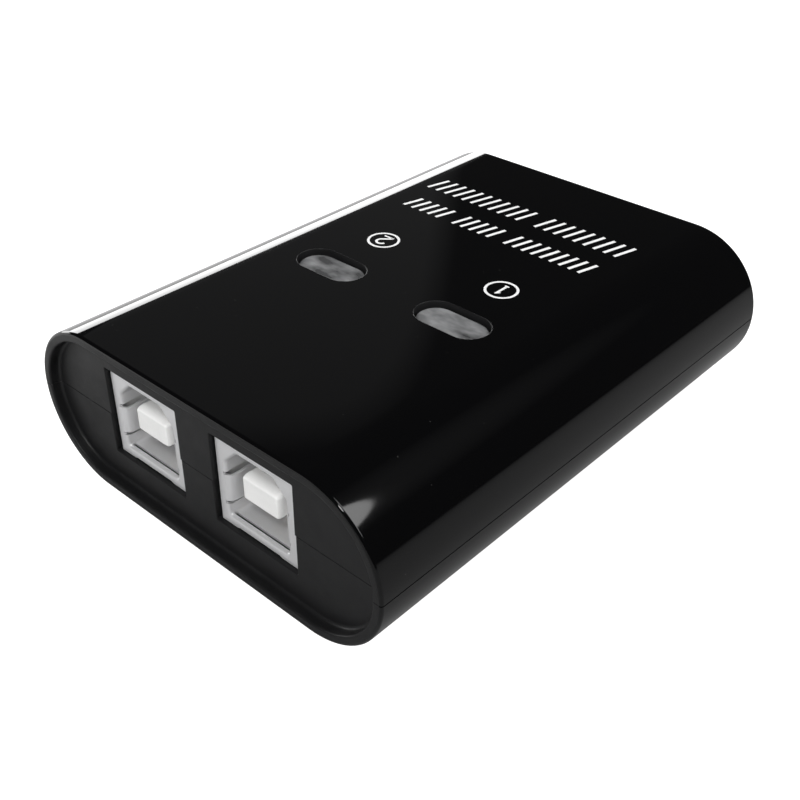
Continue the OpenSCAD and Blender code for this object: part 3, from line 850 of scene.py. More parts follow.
def build_case(scene):
    """Both halves with their bosses, lip, windows, bores and recesses."""
    s = scene.switch_case
    drop = 0.012 * MM
    screws, feet = four_places("case_screws", SCREW_HEAD_R), four_places("rubber_feet", FOOT_R)
    boss_r, pilot_r, clear_r, beyond = 3 * MM, 0.9 * MM, 1.1 * MM, 1 * MM
    top = case_half("upper_case", 1, s, drop)
    give(top, "polished_black", "satin_black")
    add(top, *[drum(boss_r, c, BOARD_TOP, TOP - 1.4 * MM) for c in screws])
    cut(top, *window_tools(12.4 * MM, s))
    cut(top, *side_bars(0.15 * MM, PARTING - 1 * MM, PARTING + 0.95 * MM, s),
        *[drum(pilot_r, c, BOARD_TOP - 1 * MM, 14 * MM) for c in screws])
    cut(top, *[flared(ring_z, window_shape(n, 0), TOP - drop, TOP - s.wall - 1 * MM, 0.09 * MM, beyond)
               for n in ("lens_1", "lens_2")])
    finish_piece(top, "case", ["top_shell"])

    bottom = case_half("lower_case", -1, s, drop)
    give(bottom, "polished_black", "satin_black")
    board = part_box("circuit_board")[0].z
    add(bottom, *[drum(boss_r, c, BOTTOM + 1.4 * MM, board) for c in screws])
    add(bottom, *side_bars(0, PARTING - 1 * MM, PARTING + 0.8 * MM, s))
    cut(bottom, *window_tools(12.7 * MM, s))
    counterbores = [flared(ring_z, circle_outline(2.2 * MM, c), BOTTOM, 2.9 * MM, 0.2 * MM, beyond)
                    for c in screws]
    seats = [flared(ring_z, circle_outline(3.6 * MM, c), BOTTOM, BOTTOM + 0.5 * MM, 0.1 * MM, beyond)
             for c in feet]
    cut(bottom, *counterbores, *seats)
    cut(bottom, *[drum(clear_r, c, BOTTOM, board + 1 * MM) for c in screws])
    finish_piece(bottom, "case", ["bottom_shell"])


# ---------------------------------------------------------------- sockets

def bowed(points, centre, start, length, bow, along, across, low, high, skew=0.6):
    """Spring leaves: points between two levels across the leaf move towards the centre by bow sin(pi u^skew).

    u runs from 0 to 1 in y, from start over length, which is negative for a leaf that runs to -Y. along is
    the number of the axis in which the leaf bows, and across that of the axis of low and high.
    """
    u = np.clip((points[..., 1] - start) / length, 0, 1)
    edge = 0.4 * MM
    level = points[..., across]
    share = np.clip((level - low + edge) / edge, 0, 1) * np.clip((high + edge - level) / edge, 0, 1)
    offset = points[..., along] - centre
    points[..., along] -= np.sign(offset) * bow * np.sin(math.pi * u ** skew) * share
    return points


def mouth_curve(x, z0, s):
    """Mouth of a B socket: a rectangle with its two top corners cut off."""
    w, h, c = s.mouth_w / 2, s.mouth_h, s.mouth_cut
    corners = [(x + w, z0), (x + w, z0 + h - c), (x + w - c, z0 + h),
               (x - w + c, z0 + h), (x - w, z0 + h - c), (x - w, z0)]
    return outline(corners, [0.4 * MM] + [0.6 * MM] * 4 + [0.4 * MM], (26, 3, 12, 3, 26, 30), 5)


def shell_curve(low, high, inset):
    """Outside of a B socket's shell, moved in by inset, with as many points as its mouth."""
    x0, x1, z0, z1 = low.x + inset, high.x - inset, BOARD_TOP + inset, high.z - inset
    c = 0.35 * MM
    corners = [(x1, z0), (x1, z1 - c), (x1 - c, z1), (x0 + c, z1), (x0, z1 - c), (x0, z0)]
    soft = max(0.45 * MM - inset, 0.08 * MM)
    return outline(corners, [0.16 * MM] + [soft] * 4 + [0.16 * MM], (26, 3, 12, 3, 26, 30), 5)


def b_socket_places(number):
    """Named places of a B socket, from its CAD nodes."""
    low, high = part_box(f"b_socket_shell_{number}")
    return low, high, (low.x + high.x) / 2, low.y, BOARD_TOP + 1.1 * MM


def b_shell(number, s):
    """Bent sheet of a B socket: skin, front plate and folded-in throat as one sheet, closed at the back.

    It is one stack of rings: up the outside of the skin, round the plate's edge, over the fold into the
    throat, back along the throat's other side, behind the plate, and down the inside of the skin. Each side
    wall of the throat has a leaf between two slots, which begin as notches in the fold.
    """
    low, high, x, face, mouth_z = b_socket_places(number)
    mouth, skin, lining = mouth_curve(x, mouth_z, s), shell_curve(low, high, 0), shell_curve(low, high, SHEET)
    edge, fold, back, w = 0.16 * MM, 0.34 * MM, high.y, s.mouth_w / 2
    outside = [ring_y(skin, 0, y) for y in np.linspace(back, face + 0.5 * MM, 8)]
    outside += edge_out(ring_y, skin, edge, face, -edge, 6)
    for ring in outside[-7:]:
        under = np.clip((BOARD_TOP + 0.25 * MM - ring[:, 2]) / (0.1 * MM), 0, 1)
        foot = np.clip((np.abs(ring[:, 0] - x) - 3.3 * MM) / (0.2 * MM), 0, 1)
        nearness = np.clip((face + 0.6 * MM - ring[:, 1]) / (0.2 * MM), 0, 1)
        ring[:, 2] -= 0.15 * MM * under * foot * nearness
    steps = face + fold + (s.throat - fold) * np.linspace(0, 1, 34)[1:]
    throat = edge_in(ring_y, mouth, -fold, face, fold, 6) + [ring_y(mouth, 0, y) for y in steps]
    behind = [ring_y(mouth, SHEET, y) for y in steps[::-1]] + [ring_y(mouth, SHEET, face + SHEET)]
    leaf = dict(centre=x, start=face + 0.2 * MM, length=6 * MM, bow=s.leaf_bow, along=0, across=2,
                low=mouth_z + 1.9 * MM, high=mouth_z + 5.2 * MM, skew=0.42)
    throat, behind = bowed(np.array(throat), **leaf), bowed(np.array(behind), **leaf)
    inside = [ring_y(lining, 0, y) for y in np.linspace(face + SHEET, back - SHEET, 6)]
    rings = outside + list(throat) + list(behind) + inside
    shell = put(f"b_socket_shield_{number}", loft(rings), split=True)
    give(shell, "tin_plate")
    slots, notches = [], []
    for z in (mouth_z + 1.3 * MM, mouth_z + 5.25 * MM):
        for side in (-1, 1):
            slots.append(side_block(x, side, w - 1.2 * MM, w + 0.75 * MM,
                                    (face + 0.45 * MM, face + 6.5 * MM), (z, z + 0.57 * MM)))
            notches.append(side_block(x, side, w - 1.1 * MM, w + 0.45 * MM,
                                      (face - 0.2 * MM, face + 0.6 * MM), (z + 0.08 * MM, z + 0.52 * MM)))
    slit = block((x - w + 0.15 * MM, face + 0.5 * MM, mouth_z - 0.6 * MM),
                 (x + w - 0.15 * MM, face + 0.86 * MM, mouth_z + 0.2 * MM))
    underside = block((low.x + SHEET, face + 0.7 * MM, BOARD_TOP - 0.5 * MM),
                      (high.x - SHEET, back - SHEET, BOARD_TOP + SHEET + 0.1 * MM))
    cut(shell, *slots, slit, underside)
    cut(shell, *notches)
    leg_top, taper = BOARD_TOP + 0.4 * MM, low.z + 0.6 * MM
    leg = outline([(face + 8 * MM, taper), (face + 8 * MM, leg_top), (face + 6 * MM, leg_top),
                   (face + 6 * MM, taper), (face + 6.6 * MM, low.z), (face + 7.4 * MM, low.z)], 0, 1, 1)[0]
    legs = []
    for x0 in (low.x, high.x - SHEET):
        sides = (x0 + 0.03 * MM, x0 + SHEET - 0.03 * MM)
        legs.append(loft([np.column_stack([np.full(len(leg), v), leg]) for v in sides]))
    add(shell, *legs)
    finish_piece(shell, "case", [f"b_socket_shell_{number}"])


def b_insulator(number, s):
    """Moulded block of a B socket behind its throat, with the tongue that carries the four contacts."""
    low, high, x, face, mouth_z = b_socket_places(number)
    gap = SHEET + 0.05 * MM
    body = block((low.x + gap, face + 1.3 * MM, BOARD_TOP + 0.02 * MM),
                 (high.x - gap, high.y - gap, high.z - gap), 0.25 * MM)
    piece = put(f"b_socket_block_{number}", body)
    give(piece, "white_plastic")
    mouth = mouth_curve(x, mouth_z, s)
    end, w = face + s.throat + 0.05 * MM, s.mouth_w / 2
    cut(piece, loft([ring_y(mouth, gap, y) for y in (face, end)]))
    cut(piece, *[side_block(x, side, w - 0.2 * MM, w + 0.95 * MM, (face, face + 7 * MM),
                            (mouth_z + 1 * MM, mouth_z + 6.1 * MM)) for side in (-1, 1)])
    low_z, high_z = mouth_z + B_TONGUE_LOW, mouth_z + B_TONGUE_HIGH
    curve = box_outline(B_TONGUE_W, high_z - low_z, (x, (low_z + high_z) / 2), 0.45 * MM, (6, 8, 6, 8), 6)
    tip, soft, deep = face + 0.55 * MM, 0.34 * MM, 0.9 * MM
    rings = edge_in(ring_y, curve, soft, tip, deep, 8)
    rings += [ring_y(curve, 0, y) for y in np.linspace(tip + deep, end + 1 * MM, 10)[1:]]
    add(piece, loft(rings))
    grooves = []
    for middle in (x - B_STRIP_X, x + B_STRIP_X):
        for z in (low_z - 0.5 * MM, high_z - 0.2 * MM):
            grooves.append(block((middle - 0.4 * MM, face + 3.1 * MM, z),
                                 (middle + 0.4 * MM, end + 0.4 * MM, z + 0.7 * MM)))
    cut(piece, *grooves)
    finish_piece(piece, "case", [f"b_socket_insulator_{number}"])


def wiping_strip(x, y, z, down, bend, width, thick):
    """Contact strip: from the last point of its path (y, z) it bends down towards `down`, a (y, z) pin tip.

    The bend is a quarter circle of radius bend; a straight pin ends it.
    """
    way = math.copysign(1, down[0] - y[-1])
    turn = quarter(7)[1:]
    pin_y = np.full(2, down[0])
    path_y = np.concatenate([y, y[-1] + way * bend * np.sin(turn), pin_y])
    path_z = np.concatenate([z, z[-1] - bend * (1 - np.cos(turn)), [z[-1] - 2 * MM, down[1]]])
    return strap(np.stack([np.full(len(path_y), x), path_y, path_z], 1), width, thick)


def b_contacts(number):
    """Four gold strips along a B tongue: each ends in a raised wiping bow, and turns down through the board.

    The bow is lift sin^2(pi u) over the first 3 mm.
    """
    _, _, x, face, mouth_z = b_socket_places(number)
    pin_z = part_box(f"b_socket_contacts_{number}")[0].z
    patches = []
    for side in (-1, 1):
        for surface, out, down in zip((mouth_z + B_TONGUE_HIGH, mouth_z + B_TONGUE_LOW), (1, -1), B_PINS_Y):
            y = np.linspace(face + 3.2 * MM, face + down - 0.3 * MM, 24)
            lift = 0.07 * MM * np.sin(math.pi * np.clip((y - y[0]) / (3 * MM), 0, 1)) ** 2
            z = surface + out * (lift - 0.1 * MM)
            patches.append(wiping_strip(x + side * B_STRIP_X, y, z, (face + down, pin_z),
                                        0.3 * MM, 0.6 * MM, 0.18 * MM))
    piece = put(f"b_socket_strips_{number}", joined(*patches))
    give(piece, "gold_flash")
    finish_piece(piece, "case", [f"b_socket_contacts_{number}"])


def strap(path, width, thick):
    """Flat strip as wide as width along X: a rectangle carried along a path in a plane of constant x.

    The rectangle's short side lies along the path's normal, which is its tangent turned a quarter turn.
    """
    tangent = np.gradient(path, axis=0)
    tangent /= np.linalg.norm(tangent, axis=1)[:, None]
    normal = np.stack([np.zeros(len(path)), -tangent[:, 2], tangent[:, 1]], axis=1) * thick / 2
    across = np.array([width / 2, 0, 0])
    rings = np.stack([path + across + normal, path - across + normal,
                      path - across - normal, path + across - normal], axis=1)
    return loft(rings)


def a_shell():
    """Bent sheet of the A socket: a rectangular tube with spring leaves, two above, two below, one a side."""
    low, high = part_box("a_socket_shell")
    x, face, back = (low.x + high.x) / 2, high.y, low.y
    z0, z1 = BOARD_TOP + 0.1 * MM, high.z
    middle, half_w = (z0 + z1) / 2, high.x - x

    def curve(inset):
        return box_outline(high.x - low.x - 2 * inset, z1 - z0 - 2 * inset, (x, middle),
                           max(0.5 * MM - inset, 0.1 * MM), (14, 40, 14, 40), 5)

    skin, lining = curve(0), curve(SHEET)
    rim = SHEET / 2
    steps = np.linspace(face - 0.4 * MM, back + 1 * MM, 34)
    outside = [ring_y(skin, 0, y) for y in steps[::-1]]
    lip = [ring_y(skin, rim * (math.cos(t) - 1), face - rim + rim * math.sin(t))
           for t in np.linspace(0, math.pi, 9)]
    inside = [ring_y(lining, 0, y) for y in steps]
    rings = np.array(outside + lip + inside)
    start, run = face - 1.4 * MM, -5.6 * MM
    leaves_x = (-2.9 * MM, 2.9 * MM)
    for offset in leaves_x:
        low_x, high_x = x + offset - 1.1 * MM, x + offset + 1.1 * MM
        rings = bowed(rings, middle, start, run, 0.42 * MM, 2, 0, low_x, high_x)
    rings = bowed(rings, x, start, run, 0.36 * MM, 0, 2, middle - 1 * MM, middle + 1 * MM)
    rings = [ring_y(skin, 0, back)] + list(rings) + [ring_y(lining, 0, back + SHEET)]
    shell = put("a_socket_shield", loft(rings), split=True)
    give(shell, "tin_plate")
    kerf = 0.32 * MM
    tip = start + run - 0.3 * MM
    slot_y, end_y = (tip + kerf / 2, start + 0.2 * MM), (tip, tip + kerf)
    slots, ends = [], []
    for z in (z0, z1):
        low_z, high_z = z - 0.9 * MM, z + 0.9 * MM
        for offset in leaves_x:
            for side in (-1, 1):
                edge = x + offset + side * 1.3 * MM
                slots.append(block((edge - kerf / 2, slot_y[0], low_z), (edge + kerf / 2, slot_y[1], high_z)))
            ends.append(block((x + offset - 1.4 * MM, end_y[0], low_z),
                              (x + offset + 1.4 * MM, end_y[1], high_z)))
    inner, outer = half_w - 0.9 * MM, half_w + 0.5 * MM
    for side in (-1, 1):
        for z in (middle - 1.2 * MM, middle + 1.2 * MM):
            slots.append(side_block(x, side, inner, outer, slot_y, (z - kerf / 2, z + kerf / 2)))
        ends.append(side_block(x, side, inner, outer, end_y, (middle - 1.3 * MM, middle + 1.3 * MM)))
    pins = block((x - 4.5 * MM, back + 0.8 * MM, z0 - 0.5 * MM),
                 (x + 4.5 * MM, back + 2.2 * MM, z0 + 0.4 * MM))
    cut(shell, *slots, pins)
    cut(shell, *ends)
    inset = 0.03 * MM
    legs = [block((x0, face - 9.02 * MM, low.z),
                  (x0 + SHEET - 0.06 * MM, face - 7 * MM, z0 + 0.6 * MM), 0.05 * MM)
            for x0 in (low.x + inset, high.x - SHEET + inset)]
    add(shell, *legs)
    finish_piece(shell, "case", ["a_socket_shell"])


def a_insulator():
    """White block and tongue of the A socket; the four contacts lie in grooves under the tongue."""
    low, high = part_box("a_socket_insulator")
    x, tip = (low.x + high.x) / 2, high.y
    piece = put("a_socket_block", block(low, (high.x, low.y + 4.5 * MM, high.z), 0.2 * MM))
    give(piece, "white_plastic")
    width, thick, soft = 11.1 * MM, 1.84 * MM, 0.32 * MM
    curve = box_outline(width, thick, (x, A_TONGUE_Z + thick / 2), 0.3 * MM, (4, 12, 4, 12), 6)
    rings = edge_in(ring_y, curve, soft * 0.8, tip, -soft, 7)
    rings += [ring_y(curve, 0, y) for y in np.linspace(tip - soft, low.y + 4 * MM, 8)[1:]]
    add(piece, loft(rings))
    cut(piece, *[block((x + place - 0.55 * MM, low.y - 0.1 * MM, A_TONGUE_Z - 0.3 * MM),
                       (x + place + 0.55 * MM, tip - 1.1 * MM, A_TONGUE_Z + 0.13 * MM))
                 for place in A_STRIPS_X])
    finish_piece(piece, "case", ["a_socket_insulator"])


def a_contacts():
    """Four gold strips under the A tongue, each with a raised wiping bow, turned down through the board."""
    low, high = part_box("a_socket_contacts")
    x = (low.x + high.x) / 2
    y = np.linspace(high.y, low.y + 0.45 * MM, 30)
    z = A_TONGUE_Z - 0.12 * MM * np.sin(math.pi * np.clip((high.y - y) / (3.5 * MM), 0, 1)) ** 2
    strips = [wiping_strip(x + place, y, z, (low.y + 0.15 * MM, low.z), 0.3 * MM, 0.95 * MM, 0.22 * MM)
              for place in A_STRIPS_X]
    piece = put("a_socket_strips", joined(*strips))
    give(piece, "gold_flash")
    finish_piece(piece, "case", ["a_socket_contacts"])


# ---------------------------------------------------------------- button and switch

def button_cap(s):
    """Round cap with a dished face and a rounded edge, its back chamfered, with a square socket for the stem.

    The face's profile falls by dish (1 - u^2)^2 towards the axis.
    """
    low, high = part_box("button_cap")
    x, _, z = middle_of("button_cap")
    r = (high.x - low.x) / 2
    flat = r - s.round
    dish = [(flat * t, high.y - s.dish * (1 - t * t) ** 2) for t in np.linspace(0, 1, 14)]
    edge = [(flat + s.round * math.sin(t), high.y - s.round * (1 - math.cos(t))) for t in quarter(10)[1:]]
    back = [(r, low.y + 0.3 * MM), (r - 0.06 * MM, low.y + 0.09 * MM), (r - 0.2 * MM, low.y), (0, low.y)]
    piece = put("button", revolve(dish + edge + back, (x, 0, z), 1))
    give(piece, "button_black")
    half = 1.5 * MM
    cut(piece, block((x - half, low.y - 1 * MM, z - half), (x + half, low.y + 3 * MM, z + half)))
    finish_piece(piece, "button", ["button_cap"])


def return_spring():
    """Round wire wound on a helix; half a turn at each end lies flat.

    Along the wire t from 0 to 1: angle = 2 pi turns t; the advance along Y is a smooth step of t.
    """
    low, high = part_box("return_spring")
    x, _, z = middle_of("return_spring")
    wire = 0.17 * MM
    coil = (high.x - low.x) / 2 - wire
    turns = 4.5
    t = np.linspace(0, 1, 260)
    flat = 0.1
    u = np.clip((t - flat) / (1 - 2 * flat), 0, 1)
    end = 1.1 * 2 * wire * np.clip(t / flat, 0, 1), 1.1 * 2 * wire * np.clip((1 - t) / flat, 0, 1)
    y = low.y + wire + end[0] + (high.y - low.y - 2 * wire - 2.2 * 2 * wire) * u + 2.2 * wire - end[1]
    angle = 2 * math.pi * turns * t
    path = np.stack([x + coil * np.cos(angle), y, z + coil * np.sin(angle)], axis=1)
    piece = put("return_coil", tube(path, wire, 12))
    give(piece, "spring_steel")
    finish_piece(piece, "case", ["return_spring"], smooth=50)
    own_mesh(piece)


# ---------------------------------------------------------------- windows and indicators

def lens(number, s):
    """Cloudy light pipe: a stadium plug with a rounded top edge, on a flange under the ceiling."""
    node = f"lens_{number}"
    low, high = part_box(node)
    shoulder = TOP - s.wall - 0.01 * MM
    flange, plug = window_shape(node, 1.1 * MM), window_shape(node, -0.15 * MM)
    soft, small = 0.45 * MM, 0.12 * MM
    rings = edge_in(ring_z, flange, small, low.z, small, 8)
    rings += [ring_z(flange, 0, shoulder), ring_z(plug, 0, shoulder)]
    rings += edge_out(ring_z, plug, soft, high.z, soft, 8)
    piece = put(f"window_lens_{number}", loft(rings))
    give(piece, "cloudy_lens")
    finish_piece(piece, "case", [node])


def led(number):
    """Clear indicator body: a flange, a barrel and a dome."""
    node = f"led_{number}"
    low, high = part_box(node)
    r, flange, foot, chamfer = 1.5 * MM, (high.x - low.x) / 2, low.z + 1 * MM, 0.1 * MM
    profile = [(0, low.z), (flange - chamfer, low.z), (flange, low.z + chamfer),
               (flange, low.z + 0.9 * MM), (flange - chamfer, foot), (r, foot)]
    profile += [(r * math.cos(t), high.z - r + r * math.sin(t)) for t in quarter(14)]
    piece = put(f"indicator_{number}", turned(profile, [middle_of(node)[:2]], 48))
    give(piece, "clear_resin")
    finish_piece(piece, "case", [node])


# ---------------------------------------------------------------- print

def number_one(x, y, size, line):
    """A serif 1 that is upright as read from the rear, as its outline."""
    h, w = size / 2, line / 2
    points = [(1.9 * w, -h), (1.9 * w, -h + line * 0.7), (w, -h + line * 0.7), (w, h), (0.1 * w, h),
              (-2.4 * w, h - 1.5 * line), (-2.4 * w + 0.3 * line, h - 2.1 * line), (-w, h - 1.25 * line),
              (-w, -h + line * 0.7), (-1.9 * w, -h + line * 0.7), (-1.9 * w, -h)]
    return np.array([x, y]) - np.array(points)


def number_two(x, y, size, line):
    """A 2, upright as read from the rear: an arc that runs into a diagonal, as (path, base bar path)."""
    h = size / 2
    r = size * 0.27
    a = np.radians(np.linspace(165, -35, 22))
    arc = np.stack([r * np.cos(a), h - r - line / 2 + r * np.sin(a)], axis=1)
    foot = np.array([-r * 0.95, -h + line * 0.6])
    slope = arc[-1] + (foot - arc[-1]) * np.linspace(0, 1, 8)[1:, None]
    base = np.array([[-r - line * 0.3, -h + line * 0.4], [r + line * 0.4, -h + line * 0.4]])
    return np.array([x, y]) - np.concatenate([arc, slope]), np.array([x, y]) - base


def stroke_row(x0, x1, y0, y1, groups, line, slant):
    """Slanted strokes in groups, evenly spaced from x0 to x1, with one stroke left out between groups."""
    count = sum(groups) + len(groups) - 1
    lean = (y1 - y0) * math.tan(slant)
    places = np.linspace(x0 + line / 2, x1 - line / 2 - lean, count)
    skipped = np.cumsum(np.array(groups[:-1]) + 1) - 1
    for i, x in enumerate(places):
        if i not in skipped:
            yield np.array([[x, y0], [x + lean, y1]])


def print_marks(scene):
    """White print on the top: two ringed numbers beside the windows and two rows of plain strokes."""
    s = scene.switch_print
    low, high = TOP - 0.06 * MM, TOP
    line, bar = s.line, 1.4 * s.line
    patches = []
    size = 2.4 * MM
    for number, side in ((1, 1), (2, -1)):
        x, y = side * 9.5 * MM, FRONT + s.ring_y
        curve = circle_outline(s.ring_r, (x, y), 72)
        rings = [ring_z(curve, -line, low), ring_z(curve, 0, low), ring_z(curve, 0, high),
                 ring_z(curve, -line, high)]
        patches.append(loft(rings, loop=True))
        if number == 1:
            shape = number_one(x, y, size, line)
            patches.append(loft([np.column_stack([shape, np.full(len(shape), z)]) for z in (low, high)]))
        else:
            path, base = number_two(x, y, size, line)
            patches += [ribbon(path, line, low, high), ribbon(base, line * 0.8, low, high)]
    rows = [(-15.1, 14.6, 49.8, 52.9, (5, 5, 9)), (-16.5, 15.6, 56.4, 60.0, (11, 9))]
    for x0, x1, y0, y1, groups in rows:
        row = stroke_row(x0 * MM, x1 * MM, FRONT + y0 * MM, FRONT + y1 * MM, groups, bar, s.slant)
        patches += [ribbon(path, bar, low, high) for path in row]
    piece = put("print_marks", joined(*patches))
    give(piece, "ink")
    finish_piece(piece, "case")


# ---------------------------------------------------------------- underside

def rubber_feet():
    """Four round feet with rounded edges and a shallow dish in the face that touches the desk.

    The dish falls by dish (1 - u^2)^2 towards the middle.
    """
    low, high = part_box("rubber_feet")
    soft, dish = 0.3 * MM, 0.12 * MM
    flat = FOOT_R - soft
    profile = [(0.72 * flat * t, low.z + dish * (1 - t * t) ** 2) for t in np.linspace(0, 1, 8)]
    profile += [(flat + soft * math.sin(t), low.z + soft * (1 - math.cos(t))) for t in quarter(8)]
    profile += [(FOOT_R, high.z), (0, high.z)]
    piece = put("feet", turned(profile, four_places("rubber_feet", FOOT_R), 64))
    give(piece, "rubber")
    finish_piece(piece, "case", ["rubber_feet"])


def cross_recess(x, y, bottom, turn):
    """Tool for a tapered cross: a 12-cornered cross that narrows from below a screw's face into its head."""
    crosses = []
    levels = ((0.52, 1.2, bottom - 0.2 * MM), (0.5, 1.2, bottom), (0.2, 0.45, bottom + 0.85 * MM))
    for wide, reach, z in levels:
        half, long = wide * 0.52 * MM, reach * MM
        corners = []
        for a in turn + np.arange(4) * math.pi / 2:
            along, across = np.array([math.cos(a), math.sin(a)]), np.array([-math.sin(a), math.cos(a)])
            corners += [long * along - half * across, long * along + half * across,
                        half * along + half * across]
        crosses.append(np.column_stack([np.array(corners) + (x, y), np.full(12, z)]))
    return loft(crosses)


def case_screws():
    """Four pan-head screws: a domed head with a tapered cross recess, and a ridged shank with a point."""
    low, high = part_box("case_screws")
    head_r, head_h, shank, dome = SCREW_HEAD_R, 1.3 * MM, 0.85 * MM, 0.75 * MM
    top = low.z + head_h
    profile = [(0, low.z)]
    profile += [(1.3 * MM + 0.7 * MM * math.sin(t), low.z + dome * (1 - math.cos(t))) for t in quarter(8)]
    profile += [(head_r, top - 0.08 * MM), (head_r - 0.08 * MM, top), (shank * 0.8, top)]
    pitch = 0.55 * MM
    for i in range(int((high.z - low.z - head_h - 1.2 * MM) / pitch)):
        z = top + 0.3 * MM + i * pitch
        profile += [(0.66 * shank, z), (shank, z + 0.42 * pitch), (0.66 * shank, z + 0.84 * pitch)]
    profile += [(0.6 * shank, high.z - 0.7 * MM), (0, high.z)]
    places = four_places("case_screws", head_r)
    piece = put("screws", turned(profile, places, 48))
    give(piece, "zinc_plate")
    cut(piece, *[cross_recess(x, y, low.z, math.radians(20 + 37 * i)) for i, (x, y) in enumerate(places)])
    finish_piece(piece, "case", ["case_screws"])


# ---------------------------------------------------------------- board

def capacitor():
    """Upright capacitor: a rolled groove near its foot, a rounded shoulder and a rim round its top.

    The groove is 0.3 mm deep, as sin^2 along its 0.8 mm of height.
    """
    low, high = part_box("capacitor")
    x, y, _ = middle_of("capacitor")
    r, foot, soft, top = (high.x - low.x) / 2, BOARD_TOP, 0.35 * MM, high.z - 0.1 * MM
    groove = [(r - 0.3 * MM * math.sin(math.pi * t) ** 2, foot + (1.0 + 0.8 * t) * MM)
              for t in np.linspace(0, 1, 9)]
    shoulder = [(r - soft * (1 - math.cos(t)), high.z - soft * (1 - math.sin(t))) for t in quarter(7)]
    profile = [(0, foot), (r - 0.2 * MM, foot), (r, foot + 0.2 * MM)] + groove + shoulder
    profile += [(r - 0.7 * MM, top), (0, top)]
    wire = 0.25 * MM
    lead = [(0, low.z), (wire, low.z), (wire, foot + 0.1 * MM), (0, foot + 0.1 * MM)]
    leads = turned(lead, [(x - 1 * MM, y), (x + 1 * MM, y)], 16)
    piece = put("capacitor_can", joined(turned(profile, [(x, y)], 64), leads))
    give(piece, "sleeve_blue")
    finish_piece(piece, "case", ["capacitor"])


def solder_joints():
    """Solder fillets on the board's underside: up each soldered pin a concave cone r1 - (r1 - r0) sqrt(u)."""
    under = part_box("circuit_board")[0].z
    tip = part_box("led_leads_1")[0].z
    places = []
    for number in (1, 2):
        low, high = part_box(f"led_leads_{number}")
        y = (low.y + high.y) / 2
        places += [(low.x + 0.25 * MM, y), (high.x - 0.25 * MM, y)]
        x, face = middle_of(f"b_socket_contacts_{number}")[0], b_socket_places(number)[3]
        places += [(x + side * B_STRIP_X, face + down) for side in (-1, 1) for down in B_PINS_Y]
    low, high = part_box("switch_terminals")
    places += [(x, y) for x in (low.x + 0.15 * MM, high.x - 0.15 * MM)
               for y in np.linspace(low.y + 0.35 * MM, high.y - 0.35 * MM, 6)]
    height = under - tip - 0.25 * MM
    profile = [(0, under)]
    profile += [((0.95 - 0.7 * math.sqrt(t)) * MM, under - height * t) for t in np.linspace(0, 1, 7)]
    profile.append((0, under - height - 0.02 * MM))
    piece = put("solder_joints", turned(profile, places, 24))
    give(piece, "tinned_wire")
    finish_piece(piece, "case", smooth=60)


def chips():
    """Chip resistors: a dark ceramic body with a bright metal cap wrapped round each end."""
    low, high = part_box("chip_resistors")
    size = np.array([2, 1.25, 0.5]) * MM
    inset, cap_l = 0.03 * MM, 0.4 * MM
    patches = []
    for x in (low.x, high.x - size[0]):
        for y in np.linspace(low.y, high.y - size[1], 4):
            corner = np.array([x, y, low.z])
            patches.append(block(corner + inset, corner + size - inset, inset))
            for start in (0, size[0] - cap_l):
                cap = block(corner + (start, 0, 0), corner + (start + cap_l, size[1], size[2]), 0.06 * MM)
                patches.append(painted(cap, 1))
    piece = put("chips", joined(*patches))
    give(piece, "chip_ceramic", "tinned_wire")
    finish_piece(piece, "case", ["chip_resistors"])


# ---------------------------------------------------------------- stage

CAMERA_PLACE = (0.076183, -0.08942, 0.084065)
CAMERA_TURN = (0.96304, -0.00909, 0.73712)

# What polished surfaces see all round: a dim room, a card given by middle and half size in x / y and in z,
# and a glow round a direction
ROOM_LIGHT, CARD_LIGHT, GLOW_LIGHT = 0.024, 0.088, 0.09
CARD_SIDEWAYS, CARD_UP = (-1.35, 0.53), (0.25, 0.345)
GLOW_WAY = (0.4, 0.5, 0.77)


def softbox(name, place, target, size, power, along=(1, 0, 0), shown=True, shape="RECTANGLE"):
    """An area light that faces a point; shown says whether polished surfaces reflect it.

    Its width lies as near as it can to the direction along.
    """
    data = bpy.data.lights.new(name, "AREA")
    data.shape = shape
    data.size, data.size_y = size
    data.energy = power
    lamp = bpy.data.objects.new(name, data)
    lamp.location = place
    back = (Vector(place) - Vector(target)).normalized()
    up = back.cross(Vector(along)).normalized()
    lamp.rotation_euler = Matrix((up.cross(back), up, back)).transposed().to_euler()
    lamp.visible_glossy = shown
    lamp.visible_camera = False
    bpy.context.scene.collection.objects.link(lamp)


